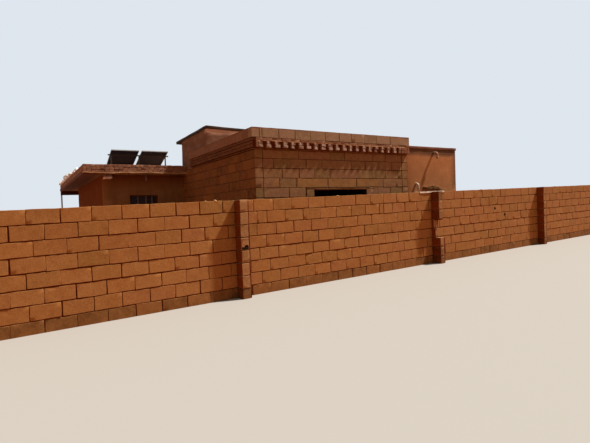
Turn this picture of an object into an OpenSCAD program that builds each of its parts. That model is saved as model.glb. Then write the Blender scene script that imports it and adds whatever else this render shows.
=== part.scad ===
// Earth-block house behind its street wall: a front room with a dog-tooth brick
// cornice, a taller rear room, a plastered wing and a flat-roofed main house.
// House axes: x to the right along the front room, y to the back, z up.
// The origin is where the wall centre lines cross at the front room's left
// corner, at the lowest ground point under the street wall.

/* [Earth blocks] */
// Length of one earth block
block_len = 390; // [340:5:440]
// Width of one earth block, which is the wall thickness
wall_t = 200; // [160:5:240]
// Height of one earth block
block_h = 200; // [160:5:240]
// Thickness of the mortar joints
joint = 12.5; // [8:0.5:20]

/* [Street wall] */
// From the wall's front face to the front room's face, at the room's left corner
street_gap = 1505; // [1200:5:3000]
// Angle between the street wall and the house front, in degrees
street_turn = 3.3; // [0:0.1:5]
// Rise of the street towards the right, in percent
street_rise = 2.07; // [0:0.01:4]
// Height of the wall above the street
street_wall_h = 1658; // [1200:2:2400]
// Distance of the second pilaster from the front room's left corner
pilaster_2_left = 1184; // [800:2:1600]
// Width of a pilaster
pilaster_w = 200; // [150:5:300]
// Pitch from the first pilaster to the second
bay_1_len = 4900; // [3000:5:6000]
// Pitch from the second pilaster to the third
bay_2_len = 5075; // [3000:5:6000]
// Pitch from the third pilaster to the fourth
bay_3_len = 4720; // [3000:5:6000]
// Pitch from the fourth pilaster to the fifth
bay_4_len = 4900; // [3000:5:6000]
// Height of the deeper foot of the third pilaster, above the street
foot_h = 600; // [400:10:800]
// How far that foot stands out beyond the stack above it
foot_out = 45; // [20:5:90]
// Top of the break in the third pilaster, above the street
break_top = 1020; // [900:10:1300]
// How far the stack still stands out at the top of the break
break_upper_out = 140; // [100:5:180]
// How far it still stands out at the waist of the break
break_waist_out = 50; // [20:5:90]
// How far it still stands out below the waist
break_lower_out = 100; // [60:5:160]

/* [Front room] */
// Whole blocks along the front wall, between the corner stacks
front_blocks = 10; // [8:1:14]
// Depth from the front face to the rear room's front face
front_room_d = 2800; // [2400:10:4000]
// Height of the walls up to the cornice
wall_h = 2880; // [2600:5:3400]
// Left edge of the window, from the room's left face
window_x = 1490; // [600:10:1800]
// Width of the window
window_w = 1560; // [800:10:2000]
// Height of the window sill
window_sill = 1000; // [800:5:1300]
// Height of the window head
window_head = 2006; // [1800:2:2200]
// Thickness of the roof slab
roof_slab_t = 120; // [100:5:180]

/* [Cornice] */
// Height of the thin lower course
lower_course_h = 35; // [25:1:60]
// How far the lower course stands out
lower_out = 45; // [20:5:70]
// Height of the dog-tooth course
tooth_h = 135; // [90:5:160]
// How far the corners of the teeth stand out
tooth_out = 105; // [60:5:120]
// Pitch of the teeth
tooth_pitch = 200; // [180:5:280]
// Plain corner at the left of the teeth
first_tooth_x = 80; // [60:5:140]
// Plain end at the right of the teeth
plain_end_len = 300; // [150:10:500]
// Length of a cornice brick
brick_len = 230; // [190:5:260]
// Width of a cornice brick
brick_w = 110; // [90:5:120]
// Height of the upper course
upper_course_h = 75; // [50:5:100]
// How far the upper course and the parapet stand out
cornice_out = 120; // [100:5:150]
// How far the cornice bricks lie on the wall
cornice_bearing = 100; // [80:5:110]
// How far the cornice runs back along the left face
cornice_left_len = 4070; // [3400:10:4600]

/* [Rear room] */
// Depth of the rear room, over its walls
rear_room_d = 2200; // [1800:10:3200]
// Height of the roof slab's front left corner
rear_top = 3884; // [3700:2:4300]
// Fall of the rear roof to the right, in percent
rear_fall_right = 2.7; // [0:0.1:6]
// Fall of the rear roof to the back, in percent
rear_fall_back = 1.4; // [0:0.1:6]
// Thickness of the rear roof slab
rear_slab_t = 80; // [60:5:140]
// Overhang of the rear roof slab at the front and the sides
rear_eave = 20; // [10:5:100]
// Overhang of the rear roof slab at the back
rear_back_eave = 500; // [100:10:600]

/* [Right wing] */
// Width of the wing
wing_w = 1890; // [1600:10:3600]
// Height of the wing's walls, up to the coping
wing_h = 3070; // [2990:5:3400]
// Top of the wing's roof slab
wing_roof_top = 2930; // [2800:5:2950]
// Thickness of the coping
coping_t = 70; // [40:5:100]
// How far the coping stands out
coping_out = 20; // [10:5:60]

/* [Main house] */
// How far the main house reaches left of the front room
main_left = 2290; // [2000:10:4000]
// Depth of the main house, over its walls
main_d = 6700; // [5600:10:9000]
// Height of the main house's walls
main_wall_h = 2740; // [2500:5:2800]
// Thickness of the main roof slab
main_slab_t = 100; // [80:5:130]
// Overhang of the main roof in front
eave_front = 380; // [200:10:600]
// Overhang of the main roof at the sides
eave_side = 550; // [300:10:700]
// Depth of the porch roof behind the house
porch_d = 1750; // [1200:10:2600]
// Width of the brick band along the roof edge
band_w = 110; // [90:5:150]
// Height of the brick band
band_h = 166; // [120:2:240]
// How far the band stands back from the slab's edge
band_inset = 12; // [5:1:30]
// Depth of the beam ends and of the porch beam
beam_h = 165; // [120:5:220]
// Reach of the beam end that shows under the front eave
beam_end_len = 340; // [150:5:360]
// Width of the porch beam
porch_beam_w = 140; // [100:5:200]
// Diameter of a porch post
post_d = 60; // [50:2:120]
// Number of porch posts
post_count = 4; // [3:1:6]

/* [Doors and windows] */
// Width of the doorways
door_w = 900; // [760:10:1100]
// Height of the door heads
door_head = 2300; // [2100:10:2400]
// Width of a barred window
barred_w = 810; // [600:10:1000]
// Height of a barred window
barred_h = 1000; // [700:10:1100]
// Height of the barred windows' heads
barred_head = 2156; // [2000:2:2300]
// Right edge of the barred window in the front, left of the front room
barred_gap = 770; // [600:10:900]
// Section of a window frame
window_frame_t = 40; // [30:2:60]
// Height of a lintel
lintel_h = 53; // [40:1:100]
// Bearing of a lintel at each end
lintel_bearing = 200; // [100:10:250]
// Height of the earth floors
floor_h = 300; // [260:10:400]

/* [Solar panels] */
// Width of one panel
panel_w = 990; // [900:5:1140]
// Length of one panel, down its slope
panel_len = 1650; // [1400:10:2000]
// Thickness of a panel's frame
panel_t = 35; // [30:1:50]
// Gap between the two panels
panel_gap = 100; // [20:5:200]
// Left edge of the left panel, left of the front room
panel_left = 1390; // [1000:10:2000]
// Top edge of the panels, from the front room's face
panel_y = 9000; // [8000:10:9800]
// Height of the panels' top edge
panel_top = 4031; // [3700:1:4200]
// Tilt of the panels, in degrees
panel_tilt = 19; // [10:1:25]
// Section of the steel rails and legs
rack_bar = 40; // [30:2:60]
// Distance of the upper rail from the top edge
upper_rail_at = 340; // [200:10:600]
// Distance of the lower rail from the top edge
lower_rail_at = 1280; // [1000:10:1350]
// How far the rails stand out beside the panels
rail_end = 80; // [20:5:150]
// Side of a foot plate
foot_plate = 120; // [80:5:160]
// Thickness of a foot plate
foot_plate_t = 8; // [6:1:12]

/* [Pipes] */
// Outer diameter of the pipes
pipe_d = 63; // [50:1:75]
// Wall of the pipes
pipe_wall = 4; // [3:0.5:6]
// Bend radius of the elbows
elbow_r = 62; // [50:1:80]
// Straight drop below each elbow
elbow_drop = 100; // [40:5:160]
// The roof spout, from the wing's left edge
spout_x = 993; // [700:5:1200]
// Height of the roof spout above the roof
spout_up = 46; // [40:1:60]
// How far the spout stands out of the wall
spout_out = 80; // [50:5:150]
// The lower pipe, from the wing's left edge
waste_x = 305; // [150:5:400]
// Height of the lower pipe
waste_z = 2140; // [1800:5:2300]
// How far the lower pipe stands out of the wall
waste_out = 15; // [10:5:60]
// How far the broken mud ledge stands out
ledge_out = 55; // [30:5:90]
// Length of the ledge
ledge_len = 830; // [500:10:1100]
// Thickness of the ledge at its ends
ledge_t = 60; // [40:5:90]
// How far the ledge climbs to its middle
ledge_rise = 55; // [20:5:90]
// How far its right end lies below its left end
ledge_drop = 125; // [40:5:180]

/* [Hidden] */
$fn = 32;

cut = 10;
earth = [0.66, 0.36, 0.20];
plaster = [0.70, 0.42, 0.24];
fired_brick = [0.72, 0.36, 0.24];
concrete = [0.62, 0.58, 0.52];
steel = [0.30, 0.29, 0.28];

pilaster_2_at = -pilaster_2_left;
pilaster_3_at = pilaster_2_at + bay_2_len;
pilaster_4_at = pilaster_3_at + bay_3_len;
pilaster_at = [pilaster_2_at - bay_1_len, pilaster_2_at, pilaster_3_at, pilaster_4_at,
    pilaster_4_at + bay_4_len];
street_low = pilaster_at[0];
stack_out = block_len - wall_t;

front_w = 2 * wall_t + front_blocks * (block_len + joint) + joint;
room_w = front_w - 2 * wall_t;
house_d = front_room_d + rear_room_d;
main_w = main_left + front_w;
main_back = house_d + main_d;
tooth_z = wall_h + lower_course_h;
upper_z = tooth_z + tooth_h;
parapet_z = upper_z + upper_course_h;
parapet_t = wall_t;
tooth_back = cornice_bearing / 2;
main_roof_top = main_wall_h + main_slab_t;
wing_right = front_w + wing_w;
barred_sill = barred_head - barred_h;
spout_z = wing_roof_top + spout_up;
rack_w = 2 * panel_w + panel_gap;
leg_at = [rack_bar, rack_w / 2, rack_w - rack_bar];

// Openings of a wall, each [start, sill, width, head]
front_openings = [[window_x - wall_t, window_sill, window_w, window_head]];
door_in_room = [[(room_w - door_w) / 2, floor_h, door_w, door_head]];
door_in_wing = [[(house_d - wall_t - door_w) / 2, floor_h, door_w, door_head]];
barred_in_front = [[main_left - barred_gap - barred_w, barred_sill, barred_w, barred_head]];
barred_in_side = [[(main_d - wall_t - barred_w) / 2, barred_sill, barred_w, barred_head]];
back_windows = [for (side = [1, 5]) [side * main_w / 6 - barred_w / 2, barred_sill, barred_w, barred_head]];
back_door = [[(main_w - door_w) / 2, floor_h, door_w, door_head]];

function street_z(s) = street_rise / 100 * (s - street_low);

module house() translate([-wall_t / 2, -wall_t / 2, 0]) children();

module street() house() translate([0, -street_gap, 0]) rotate([0, 0, street_turn]) children();

// Turns a wall that is drawn along x so that it runs along y
module along_y(x, y) translate([x + wall_t, y, 0]) rotate([0, 0, 90]) children();

module lintel_set(openings)
    for (o = openings)
        translate([o[0] - lintel_bearing, 0, o[3]]) cube([o[2] + 2 * lintel_bearing, wall_t, lintel_h]);

module frame_set(openings)
    for (o = openings)
        translate([o[0], (wall_t - window_frame_t) / 2, o[1]]) difference() {
            cube([o[2], window_frame_t, o[3] - o[1]]);
            translate([window_frame_t, -cut, window_frame_t])
                cube([o[2] - 2 * window_frame_t, window_frame_t + 2 * cut, o[3] - o[1] - 2 * window_frame_t]);
        }

module wall(length, height, openings = [])
    difference() {
        cube([length, wall_t, height]);
        for (o = openings) {
            translate([o[0], -cut, o[1]]) cube([o[2], wall_t + 2 * cut, o[3] - o[1]]);
            translate([o[0] - lintel_bearing, -cut, o[3]])
                cube([o[2] + 2 * lintel_bearing, wall_t + 2 * cut, lintel_h]);
        }
    }

// A stretch of the street wall from s0 to s1, from y0 to y1, its top h above the street
module street_block(s0, s1, y0, y1, h)
    translate([0, y1, 0]) rotate([90, 0, 0]) linear_extrude(y1 - y0)
        polygon([[s0, 0], [s1, 0], [s1, street_z(s1) + h], [s0, street_z(s0) + h]]);

module boundary_bay(i)
    color(earth) street()
        street_block(pilaster_at[i] + pilaster_w, pilaster_at[i + 1], 0, wall_t, street_wall_h);

// What has broken off the front of the third pilaster, over its whole width
module broken_notch()
    rotate([90, 0, 90]) translate([0, 0, -cut]) linear_extrude(pilaster_w + 2 * cut)
        polygon([[-block_len, foot_h], [-break_lower_out, foot_h],
            [-break_lower_out, (foot_h + break_top) / 2], [-break_waist_out, (foot_h + break_top) / 2],
            [-break_upper_out, break_top], [-block_len, break_top]]);

module boundary_pilaster(i)
    color(earth) street() {
        s = pilaster_at[i];
        difference() {
            street_block(s, s + pilaster_w, -stack_out, wall_t, street_wall_h);
            if (i == 2) translate([s, 0, street_z(s)]) broken_notch();
        }
        if (i == 2) street_block(s, s + pilaster_w, -stack_out - foot_out, 0, foot_h);
    }

module front_wall()
    color(earth) house() translate([wall_t, 0, 0]) wall(room_w, wall_h, front_openings);

module left_side_wall()
    color(earth) house() along_y(0, 0) wall(house_d, wall_h);

module right_side_wall()
    color(earth) house() along_y(front_w - wall_t, 0) wall(house_d, wall_h);

module cross_wall()
    color(earth) house() translate([wall_t, front_room_d, 0]) wall(room_w, wall_h, door_in_room);

module rear_wall()
    color(earth) house() translate([wall_t, house_d - wall_t, 0]) wall(room_w, wall_h, door_in_room);

// The plane of the rear roof's top, from its front left corner
module on_rear_roof()
    translate([-rear_eave, front_room_d - rear_eave, rear_top])
        rotate([-atan(rear_fall_back / 100), atan(rear_fall_right / 100), 0]) children();

module rear_upper_walls()
    color(plaster) house() difference() {
        translate([0, front_room_d, wall_h]) difference() {
            cube([front_w, rear_room_d, rear_top - wall_h]);
            translate([wall_t, wall_t, -cut])
                cube([room_w, rear_room_d - 2 * wall_t, rear_top - wall_h + 2 * cut]);
        }
        on_rear_roof() translate([-rear_eave, -rear_eave, -rear_slab_t])
            cube([front_w + 4 * rear_eave, rear_room_d + 4 * rear_eave, rear_top]);
    }

module rear_roof_slab()
    color(concrete) house() on_rear_roof() translate([0, 0, -rear_slab_t])
        cube([front_w + 2 * rear_eave, rear_room_d + rear_eave + rear_back_eave, rear_slab_t]);

module front_roof_slab()
    color(concrete) house() translate([cornice_bearing, cornice_bearing, wall_h])
        cube([front_w - 2 * cornice_bearing, front_room_d - cornice_bearing, roof_slab_t]);

// Plan of a course that stands out at the front and on the left, and runs to inner
module course_plan(out, inner) {
    polygon([[-out, -out], [front_w, -out], [front_w, inner], [inner, inner],
        [inner, front_room_d], [0, front_room_d], [0, cornice_left_len], [-out, cornice_left_len]]);
    translate([front_w - cornice_bearing, 0]) square([cornice_bearing, front_room_d]);
}

module cornice_lower_course()
    color(fired_brick) house() translate([0, 0, wall_h])
        linear_extrude(lower_course_h) course_plan(lower_out, cornice_bearing);

// Plan of one brick laid at 45 degrees, with its corner out of the wall
module tooth_plan()
    intersection() {
        translate([0, -tooth_out]) rotate(45) square([brick_len, brick_w]);
        translate([-brick_len, -tooth_out]) square([2 * brick_len, tooth_out + cornice_bearing]);
    }

module cornice_tooth_course()
    color(fired_brick) house() translate([0, 0, tooth_z]) linear_extrude(tooth_h) {
        for (x = [first_tooth_x + tooth_pitch : tooth_pitch : front_w - plain_end_len])
            translate([x, 0]) tooth_plan();
        translate([front_w - plain_end_len, -tooth_out]) square([plain_end_len, tooth_out + cornice_bearing]);
        translate([0, tooth_back]) square([front_w, cornice_bearing - tooth_back]);
        translate([front_w - cornice_bearing, tooth_back])
            square([cornice_bearing, front_room_d - tooth_back]);
        polygon([[-tooth_out, -tooth_out], [first_tooth_x, -tooth_out], [first_tooth_x, tooth_back],
            [cornice_bearing, tooth_back], [cornice_bearing, front_room_d], [0, front_room_d],
            [0, cornice_left_len], [-tooth_out, cornice_left_len]]);
    }

module cornice_upper_course()
    color(fired_brick) house() translate([0, 0, upper_z])
        linear_extrude(upper_course_h) course_plan(cornice_out, cornice_bearing);

module parapet_course()
    color(earth) house() translate([0, 0, parapet_z])
        linear_extrude(block_h) course_plan(cornice_out, parapet_t - cornice_out);

module wing_front_wall()
    color(plaster) house() translate([front_w, 0, 0]) difference() {
        wall(wing_w, wing_h);
        translate([spout_x, -cut, spout_z]) rotate([-90, 0, 0]) cylinder(d = pipe_d, h = wall_t + 2 * cut);
        translate([waste_x, -cut, waste_z]) rotate([-90, 0, 0]) cylinder(d = pipe_d, h = wall_t + 2 * cut);
    }

module wing_side_wall()
    color(plaster) house() along_y(wing_right - wall_t, wall_t) wall(house_d - wall_t, wing_h, door_in_wing);

module wing_back_wall()
    color(plaster) house() translate([front_w, house_d - wall_t, 0]) wall(wing_w - wall_t, wing_h);

module wing_roof_slab()
    color(concrete) house() translate([front_w, wall_t, wing_roof_top - roof_slab_t])
        cube([wing_w - wall_t, house_d - 2 * wall_t, roof_slab_t]);

module wing_coping()
    color(plaster) house() translate([front_w, 0, wing_h]) linear_extrude(coping_t) difference() {
        translate([0, -coping_out]) square([wing_w + coping_out, house_d + 2 * coping_out]);
        translate([-cut, wall_t + coping_out])
            square([wing_w - wall_t - coping_out + cut, house_d - 2 * wall_t - 2 * coping_out]);
    }

// A pipe along -y that ends d in front of the wall
module wall_pipe(d, back = 0)
    translate([0, -d, 0]) rotate([-90, 0, 0]) difference() {
        cylinder(d = pipe_d, h = d + wall_t + back);
        translate([0, 0, -cut]) cylinder(d = pipe_d - 2 * pipe_wall, h = d + wall_t + back + 2 * cut);
    }

module pipe_section()
    difference() {
        circle(d = pipe_d);
        circle(d = pipe_d - 2 * pipe_wall);
    }

// An elbow that starts at the origin, heading to -y, turns down and ends in a straight drop
module elbow()
    translate([0, 0, -elbow_r]) {
        rotate([90, 0, -90]) rotate_extrude(angle = 90) translate([elbow_r, 0]) pipe_section();
        translate([0, -elbow_r, -elbow_drop]) linear_extrude(elbow_drop) pipe_section();
    }

module roof_spout()
    color(steel) house() translate([front_w + spout_x, 0, spout_z]) wall_pipe(spout_out);

module roof_spout_elbow()
    color("white") house() translate([front_w + spout_x, -spout_out, spout_z]) elbow();

module lower_pipe_elbow()
    color("white") house() translate([front_w + waste_x, 0, waste_z]) {
        wall_pipe(waste_out);
        translate([0, -waste_out, 0]) elbow();
    }

// Broken mud ledge on the wing's front, drawn from its left end
module mud_ledge()
    color(plaster) house() translate([front_w + 2 * waste_x - pipe_d, 0, waste_z - ledge_t / 3])
        rotate([90, 0, 0]) linear_extrude(ledge_out)
            polygon([[0, -ledge_t], [0, 0], [ledge_len / 2, ledge_rise], [ledge_len, -ledge_drop],
                [ledge_len, -ledge_drop - ledge_t], [ledge_len / 2, ledge_rise - 2 * ledge_t]]);

module main_front_wall()
    color(plaster) house() translate([-main_left, house_d, 0])
        wall(main_left + wall_t, main_wall_h, barred_in_front);

module main_left_wall()
    color(plaster) house() along_y(-main_left, house_d + wall_t)
        wall(main_d - 2 * wall_t, main_wall_h);

module main_right_wall()
    color(plaster) house() along_y(front_w - wall_t, house_d)
        wall(main_d - wall_t, main_wall_h, barred_in_side);

module main_back_wall()
    color(plaster) house() translate([-main_left, main_back - wall_t, 0])
        wall(main_w, main_wall_h, concat(back_windows, back_door));

module main_roof_slab()
    color(concrete) house() translate([0, 0, main_wall_h]) linear_extrude(main_slab_t)
        polygon([[-main_left - eave_side, house_d - eave_front], [0, house_d - eave_front], [0, house_d],
            [front_w + eave_side, house_d], [front_w + eave_side, main_back + porch_d],
            [-main_left - eave_side, main_back + porch_d]]);

band_left = -main_left - eave_side + band_inset;
band_right = front_w + eave_side - band_inset;
band_front = house_d - eave_front + band_inset;
band_rear = main_back + porch_d - band_inset;

module eave_band_ends()
    color(fired_brick) house() translate([0, 0, main_roof_top]) {
        translate([band_left, band_front, 0]) cube([-band_left, band_w, band_h]);
        translate([band_left, band_rear - band_w, 0]) cube([band_right - band_left, band_w, band_h]);
    }

module eave_band_sides()
    color(fired_brick) house() translate([0, 0, main_roof_top]) {
        translate([band_left, band_front + band_w, 0])
            cube([band_w, band_rear - band_front - 2 * band_w, band_h]);
        translate([band_right - band_w, house_d, 0]) cube([band_w, band_rear - band_w - house_d, band_h]);
    }

module eave_beam_end()
    color(concrete) house() translate([-main_left, house_d - beam_end_len, main_wall_h - beam_h])
        cube([wall_t, beam_end_len, beam_h]);

post_y = main_back + porch_d - porch_beam_w;

module porch_beam()
    color(concrete) house()
        translate([band_left, post_y - porch_beam_w / 2, main_wall_h - beam_h])
            cube([band_right - band_left, porch_beam_w, beam_h]);

module porch_posts()
    color(steel) house() for (i = [0 : post_count - 1])
        translate([band_left + post_d / 2 + i * (band_right - band_left - post_d) / (post_count - 1), post_y, 0])
            cylinder(d = post_d, h = main_wall_h - beam_h);

module window_frames()
    color(steel) house() {
        translate([-main_left, house_d, 0]) frame_set(barred_in_front);
        along_y(front_w - wall_t, house_d) frame_set(barred_in_side);
        translate([-main_left, main_back - wall_t, 0]) frame_set(back_windows);
    }

module lintels()
    color(concrete) house() {
        translate([wall_t, 0, 0]) lintel_set(front_openings);
        translate([wall_t, front_room_d, 0]) lintel_set(door_in_room);
        translate([wall_t, house_d - wall_t, 0]) lintel_set(door_in_room);
        along_y(wing_right - wall_t, wall_t) lintel_set(door_in_wing);
        translate([-main_left, house_d, 0]) lintel_set(barred_in_front);
        along_y(front_w - wall_t, house_d) lintel_set(barred_in_side);
        translate([-main_left, main_back - wall_t, 0]) lintel_set(concat(back_windows, back_door));
    }

module earth_floors()
    color(earth) house() {
        translate([wall_t, wall_t, 0]) cube([room_w, front_room_d - wall_t, floor_h]);
        translate([wall_t, front_room_d + wall_t, 0]) cube([room_w, rear_room_d - 2 * wall_t, floor_h]);
        translate([front_w, wall_t, 0]) cube([wing_w - wall_t, house_d - 2 * wall_t, floor_h]);
        linear_extrude(floor_h) polygon([[wall_t - main_left, house_d + wall_t], [wall_t, house_d + wall_t],
            [wall_t, house_d], [front_w - wall_t, house_d], [front_w - wall_t, main_back - wall_t],
            [wall_t - main_left, main_back - wall_t]]);
    }

// The plane of the panels' glass, from the left panel's upper left corner
module on_panels()
    translate([-panel_left, panel_y, panel_top]) rotate([-panel_tilt, 0, 0]) children();

module solar_panel(i)
    color([0.10, 0.12, 0.20]) house() on_panels() translate([i * (panel_w + panel_gap), 0, -panel_t])
        cube([panel_w, panel_len, panel_t]);

// Height of the rails' middle at a distance down the slope
function rail_z(at) = panel_top - at * sin(panel_tilt) - (panel_t + rack_bar / 2) * cos(panel_tilt);

function rail_y(at) = panel_y + at * cos(panel_tilt) - (panel_t + rack_bar / 2) * sin(panel_tilt);

module rack_leg(x, at)
    translate([x - panel_left, rail_y(at), main_roof_top]) {
        translate([-rack_bar / 2, -rack_bar / 2, 0]) cube([rack_bar, rack_bar, rail_z(at) - main_roof_top]);
        translate([-foot_plate / 2, -foot_plate / 2, 0]) cube([foot_plate, foot_plate, foot_plate_t]);
    }

module solar_rack()
    color(steel) house() {
        on_panels() for (at = [upper_rail_at, lower_rail_at])
            translate([-rail_end, at - rack_bar / 2, -panel_t - rack_bar])
                cube([rack_w + 2 * rail_end, rack_bar, rack_bar]);
        for (x = leg_at, at = [upper_rail_at, lower_rail_at]) rack_leg(x, at);
        for (x = leg_at)
            translate([x - panel_left - rack_bar / 2, rail_y(upper_rail_at), main_roof_top + 2 * foot_plate])
                cube([rack_bar, rail_y(lower_rail_at) - rail_y(upper_rail_at), rack_bar]);
    }

boundary_bay(0);  // boundary_bay_1
boundary_bay(1);  // boundary_bay_2
boundary_bay(2);  // boundary_bay_3
boundary_bay(3);  // boundary_bay_4
boundary_pilaster(0);  // boundary_pilaster_1
boundary_pilaster(1);  // boundary_pilaster_2
boundary_pilaster(2);  // boundary_pilaster_3
boundary_pilaster(3);  // boundary_pilaster_4
boundary_pilaster(4);  // boundary_pilaster_5
front_wall();
left_side_wall();
right_side_wall();
cross_wall();
rear_wall();
rear_upper_walls();
rear_roof_slab();
front_roof_slab();
cornice_lower_course();
cornice_tooth_course();
cornice_upper_course();
parapet_course();
wing_front_wall();
wing_side_wall();
wing_back_wall();
wing_roof_slab();
wing_coping();
roof_spout();
roof_spout_elbow();
lower_pipe_elbow();
mud_ledge();
main_front_wall();
main_left_wall();
main_right_wall();
main_back_wall();
main_roof_slab();
eave_band_ends();
eave_band_sides();
eave_beam_end();
porch_beam();
porch_posts();
window_frames();
lintels();
earth_floors();
solar_panel(0);  // solar_panel_left
solar_panel(1);  // solar_panel_right
solar_rack();
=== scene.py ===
import math
import random

import bmesh
import bpy
from mathutils import Matrix, Vector, noise


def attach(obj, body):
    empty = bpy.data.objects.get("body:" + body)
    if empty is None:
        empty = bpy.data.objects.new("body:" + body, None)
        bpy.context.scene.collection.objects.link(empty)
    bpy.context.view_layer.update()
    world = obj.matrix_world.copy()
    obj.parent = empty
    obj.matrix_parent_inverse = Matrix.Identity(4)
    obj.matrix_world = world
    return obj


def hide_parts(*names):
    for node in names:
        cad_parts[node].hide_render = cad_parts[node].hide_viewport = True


noise.seed_set(1)  # noise_vector would otherwise start from the time of day
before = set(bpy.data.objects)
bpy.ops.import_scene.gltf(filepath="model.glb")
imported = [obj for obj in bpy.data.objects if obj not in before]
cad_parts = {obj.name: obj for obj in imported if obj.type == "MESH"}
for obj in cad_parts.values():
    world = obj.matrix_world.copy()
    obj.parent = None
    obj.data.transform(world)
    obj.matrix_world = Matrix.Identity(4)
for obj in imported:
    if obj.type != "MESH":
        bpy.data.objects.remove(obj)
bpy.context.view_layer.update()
print("frame loaded")

# House axes: x along the front room, y to the back, z up, as in the solids
houseFrame = Matrix.Translation((-0.1, -0.1, 0))
quarter = Matrix.Rotation(math.pi / 2, 4, "Z")
wallThick = 0.2
street = {"gap": 1.505, "turn": 3.3, "rise": 0.0207, "low": -6.084, "height": 1.658}
streetLift = Matrix(((1, 0, 0, 0), (0, 1, 0, 0), (street["rise"], 0, 1, -street["rise"] * street["low"]),
                     (0, 0, 0, 1)))  # the courses climb with the street
streetTurn = Matrix.Translation((0, -street["gap"], 0)) @ Matrix.Rotation(
    math.radians(street["turn"]), 4, "Z")
streetFrame = houseFrame @ streetTurn @ streetLift
camera = {"eye": (-4.333, -8.708, 1.556), "lens": 27.451, "yaw": 31.016, "pitch": -1.446, "roll": -2.114,
          "sensor": 36, "far": 2000}


def setCamera():
    yaw, pitch, roll = (math.radians(camera[k]) for k in ("yaw", "pitch", "roll"))
    ahead = Vector((math.cos(pitch) * math.sin(yaw), math.cos(pitch) * math.cos(yaw), math.sin(pitch)))
    level = Vector((math.cos(yaw), -math.sin(yaw), 0))
    upright = level.cross(ahead)
    right = math.cos(roll) * level + math.sin(roll) * upright
    up = math.cos(roll) * upright - math.sin(roll) * level
    data = bpy.data.cameras.new("photoCamera")
    data.lens = camera["lens"]
    data.sensor_width = camera["sensor"]
    data.clip_end = camera["far"]
    eye = bpy.data.objects.new("photoCamera", data)
    eye.matrix_world = Matrix.Translation(camera["eye"]) @ Matrix((right, up, -ahead)).transposed().to_4x4()
    bpy.context.scene.collection.objects.link(eye)
    bpy.context.scene.camera = eye


setCamera()
print("camera set")


def paint(colour):  # paint-tin numbers, 0 to 255, become the renderer's; a socket or a ready colour passes
    if isinstance(colour, bpy.types.NodeSocket) or len(colour) == 4:
        return colour
    parts = [part / 255 for part in colour]
    return (*(part / 12.92 if part <= 0.04045 else ((part + 0.055) / 1.055) ** 2.4 for part in parts), 1)


def plug(tree, node, inputs):  # links what is a socket and writes down what is a value
    for key, value in inputs.items():
        if isinstance(value, bpy.types.NodeSocket):
            tree.links.new(value, node.inputs[key])
        else:
            node.inputs[key].default_value = value
    return node


def addNode(tree, kind, inputs=None, **settings):
    made = tree.nodes.new("ShaderNode" + kind)
    for key, value in settings.items():
        setattr(made, key, value)
    return plug(tree, made, inputs or {})


def maths(tree, operation, first, second=0.5, clamp=False):
    return addNode(tree, "Math", {0: first, 1: second}, operation=operation, use_clamp=clamp).outputs[0]


def blend(tree, share, first, second, way="MIX"):
    return addNode(tree, "Mix", {0: share, 6: paint(first), 7: paint(second)}, data_type="RGBA",
                   blend_type=way, clamp_factor=True).outputs[2]


def spread(tree, value, low, high, toLow=0.0, toHigh=1.0):  # stretches low..high to 0..1
    return addNode(tree, "MapRange", {"Value": value, "From Min": low, "From Max": high, "To Min": toLow,
                                      "To Max": toHigh}, clamp=True).outputs[0]


def clouds(tree, place, scale, detail, **more):
    return addNode(tree, "TexNoise", {"Vector": place, "Scale": scale, "Detail": detail, **more}).outputs[0]


def ramp(tree, value, stops):
    made = addNode(tree, "ValToRGB", {"Fac": value})
    band = made.color_ramp
    while len(band.elements) < len(stops):
        band.elements.new(0.5)
    for element, (place, colour) in zip(band.elements, stops):
        element.position = place
        element.color = paint(colour)
    return made.outputs[0]


def onObject(tree):
    return addNode(tree, "TexCoord").outputs["Object"]


def painted(tree, name):  # a mask or a shade kept on the mesh
    return addNode(tree, "Attribute", attribute_name=name).outputs["Fac"]


def newGroup(name, takes, gives):  # what goes in, with its default or None for a place, and what comes out
    tree = bpy.data.node_groups.new(name, "ShaderNodeTree")
    for socket, value in takes.items():
        kind = "NodeSocketVector" if value is None else "NodeSocketFloat"
        made = tree.interface.new_socket(name=socket, in_out="INPUT", socket_type=kind)
        if value is not None:
            made.default_value = value
    for socket in gives:
        tree.interface.new_socket(name=socket, in_out="OUTPUT", socket_type="NodeSocketFloat")
    return tree, tree.nodes.new("NodeGroupInput").outputs, tree.nodes.new("NodeGroupOutput")


def useGroup(tree, group, inputs):
    made = tree.nodes.new("ShaderNodeGroup")
    made.node_tree = group
    return plug(tree, made, inputs).outputs


grainShape = {"lumps": 0.22, "holes": 0.7, "spots": 0.35, "holeWidth": (0.25, 0.05),
              "spotShare": (0.52, 0.66), "grainHeight": 0.45,
              "lumpHeight": 0.8}  # lumps, holes and spots are shares of the grain's size


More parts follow.
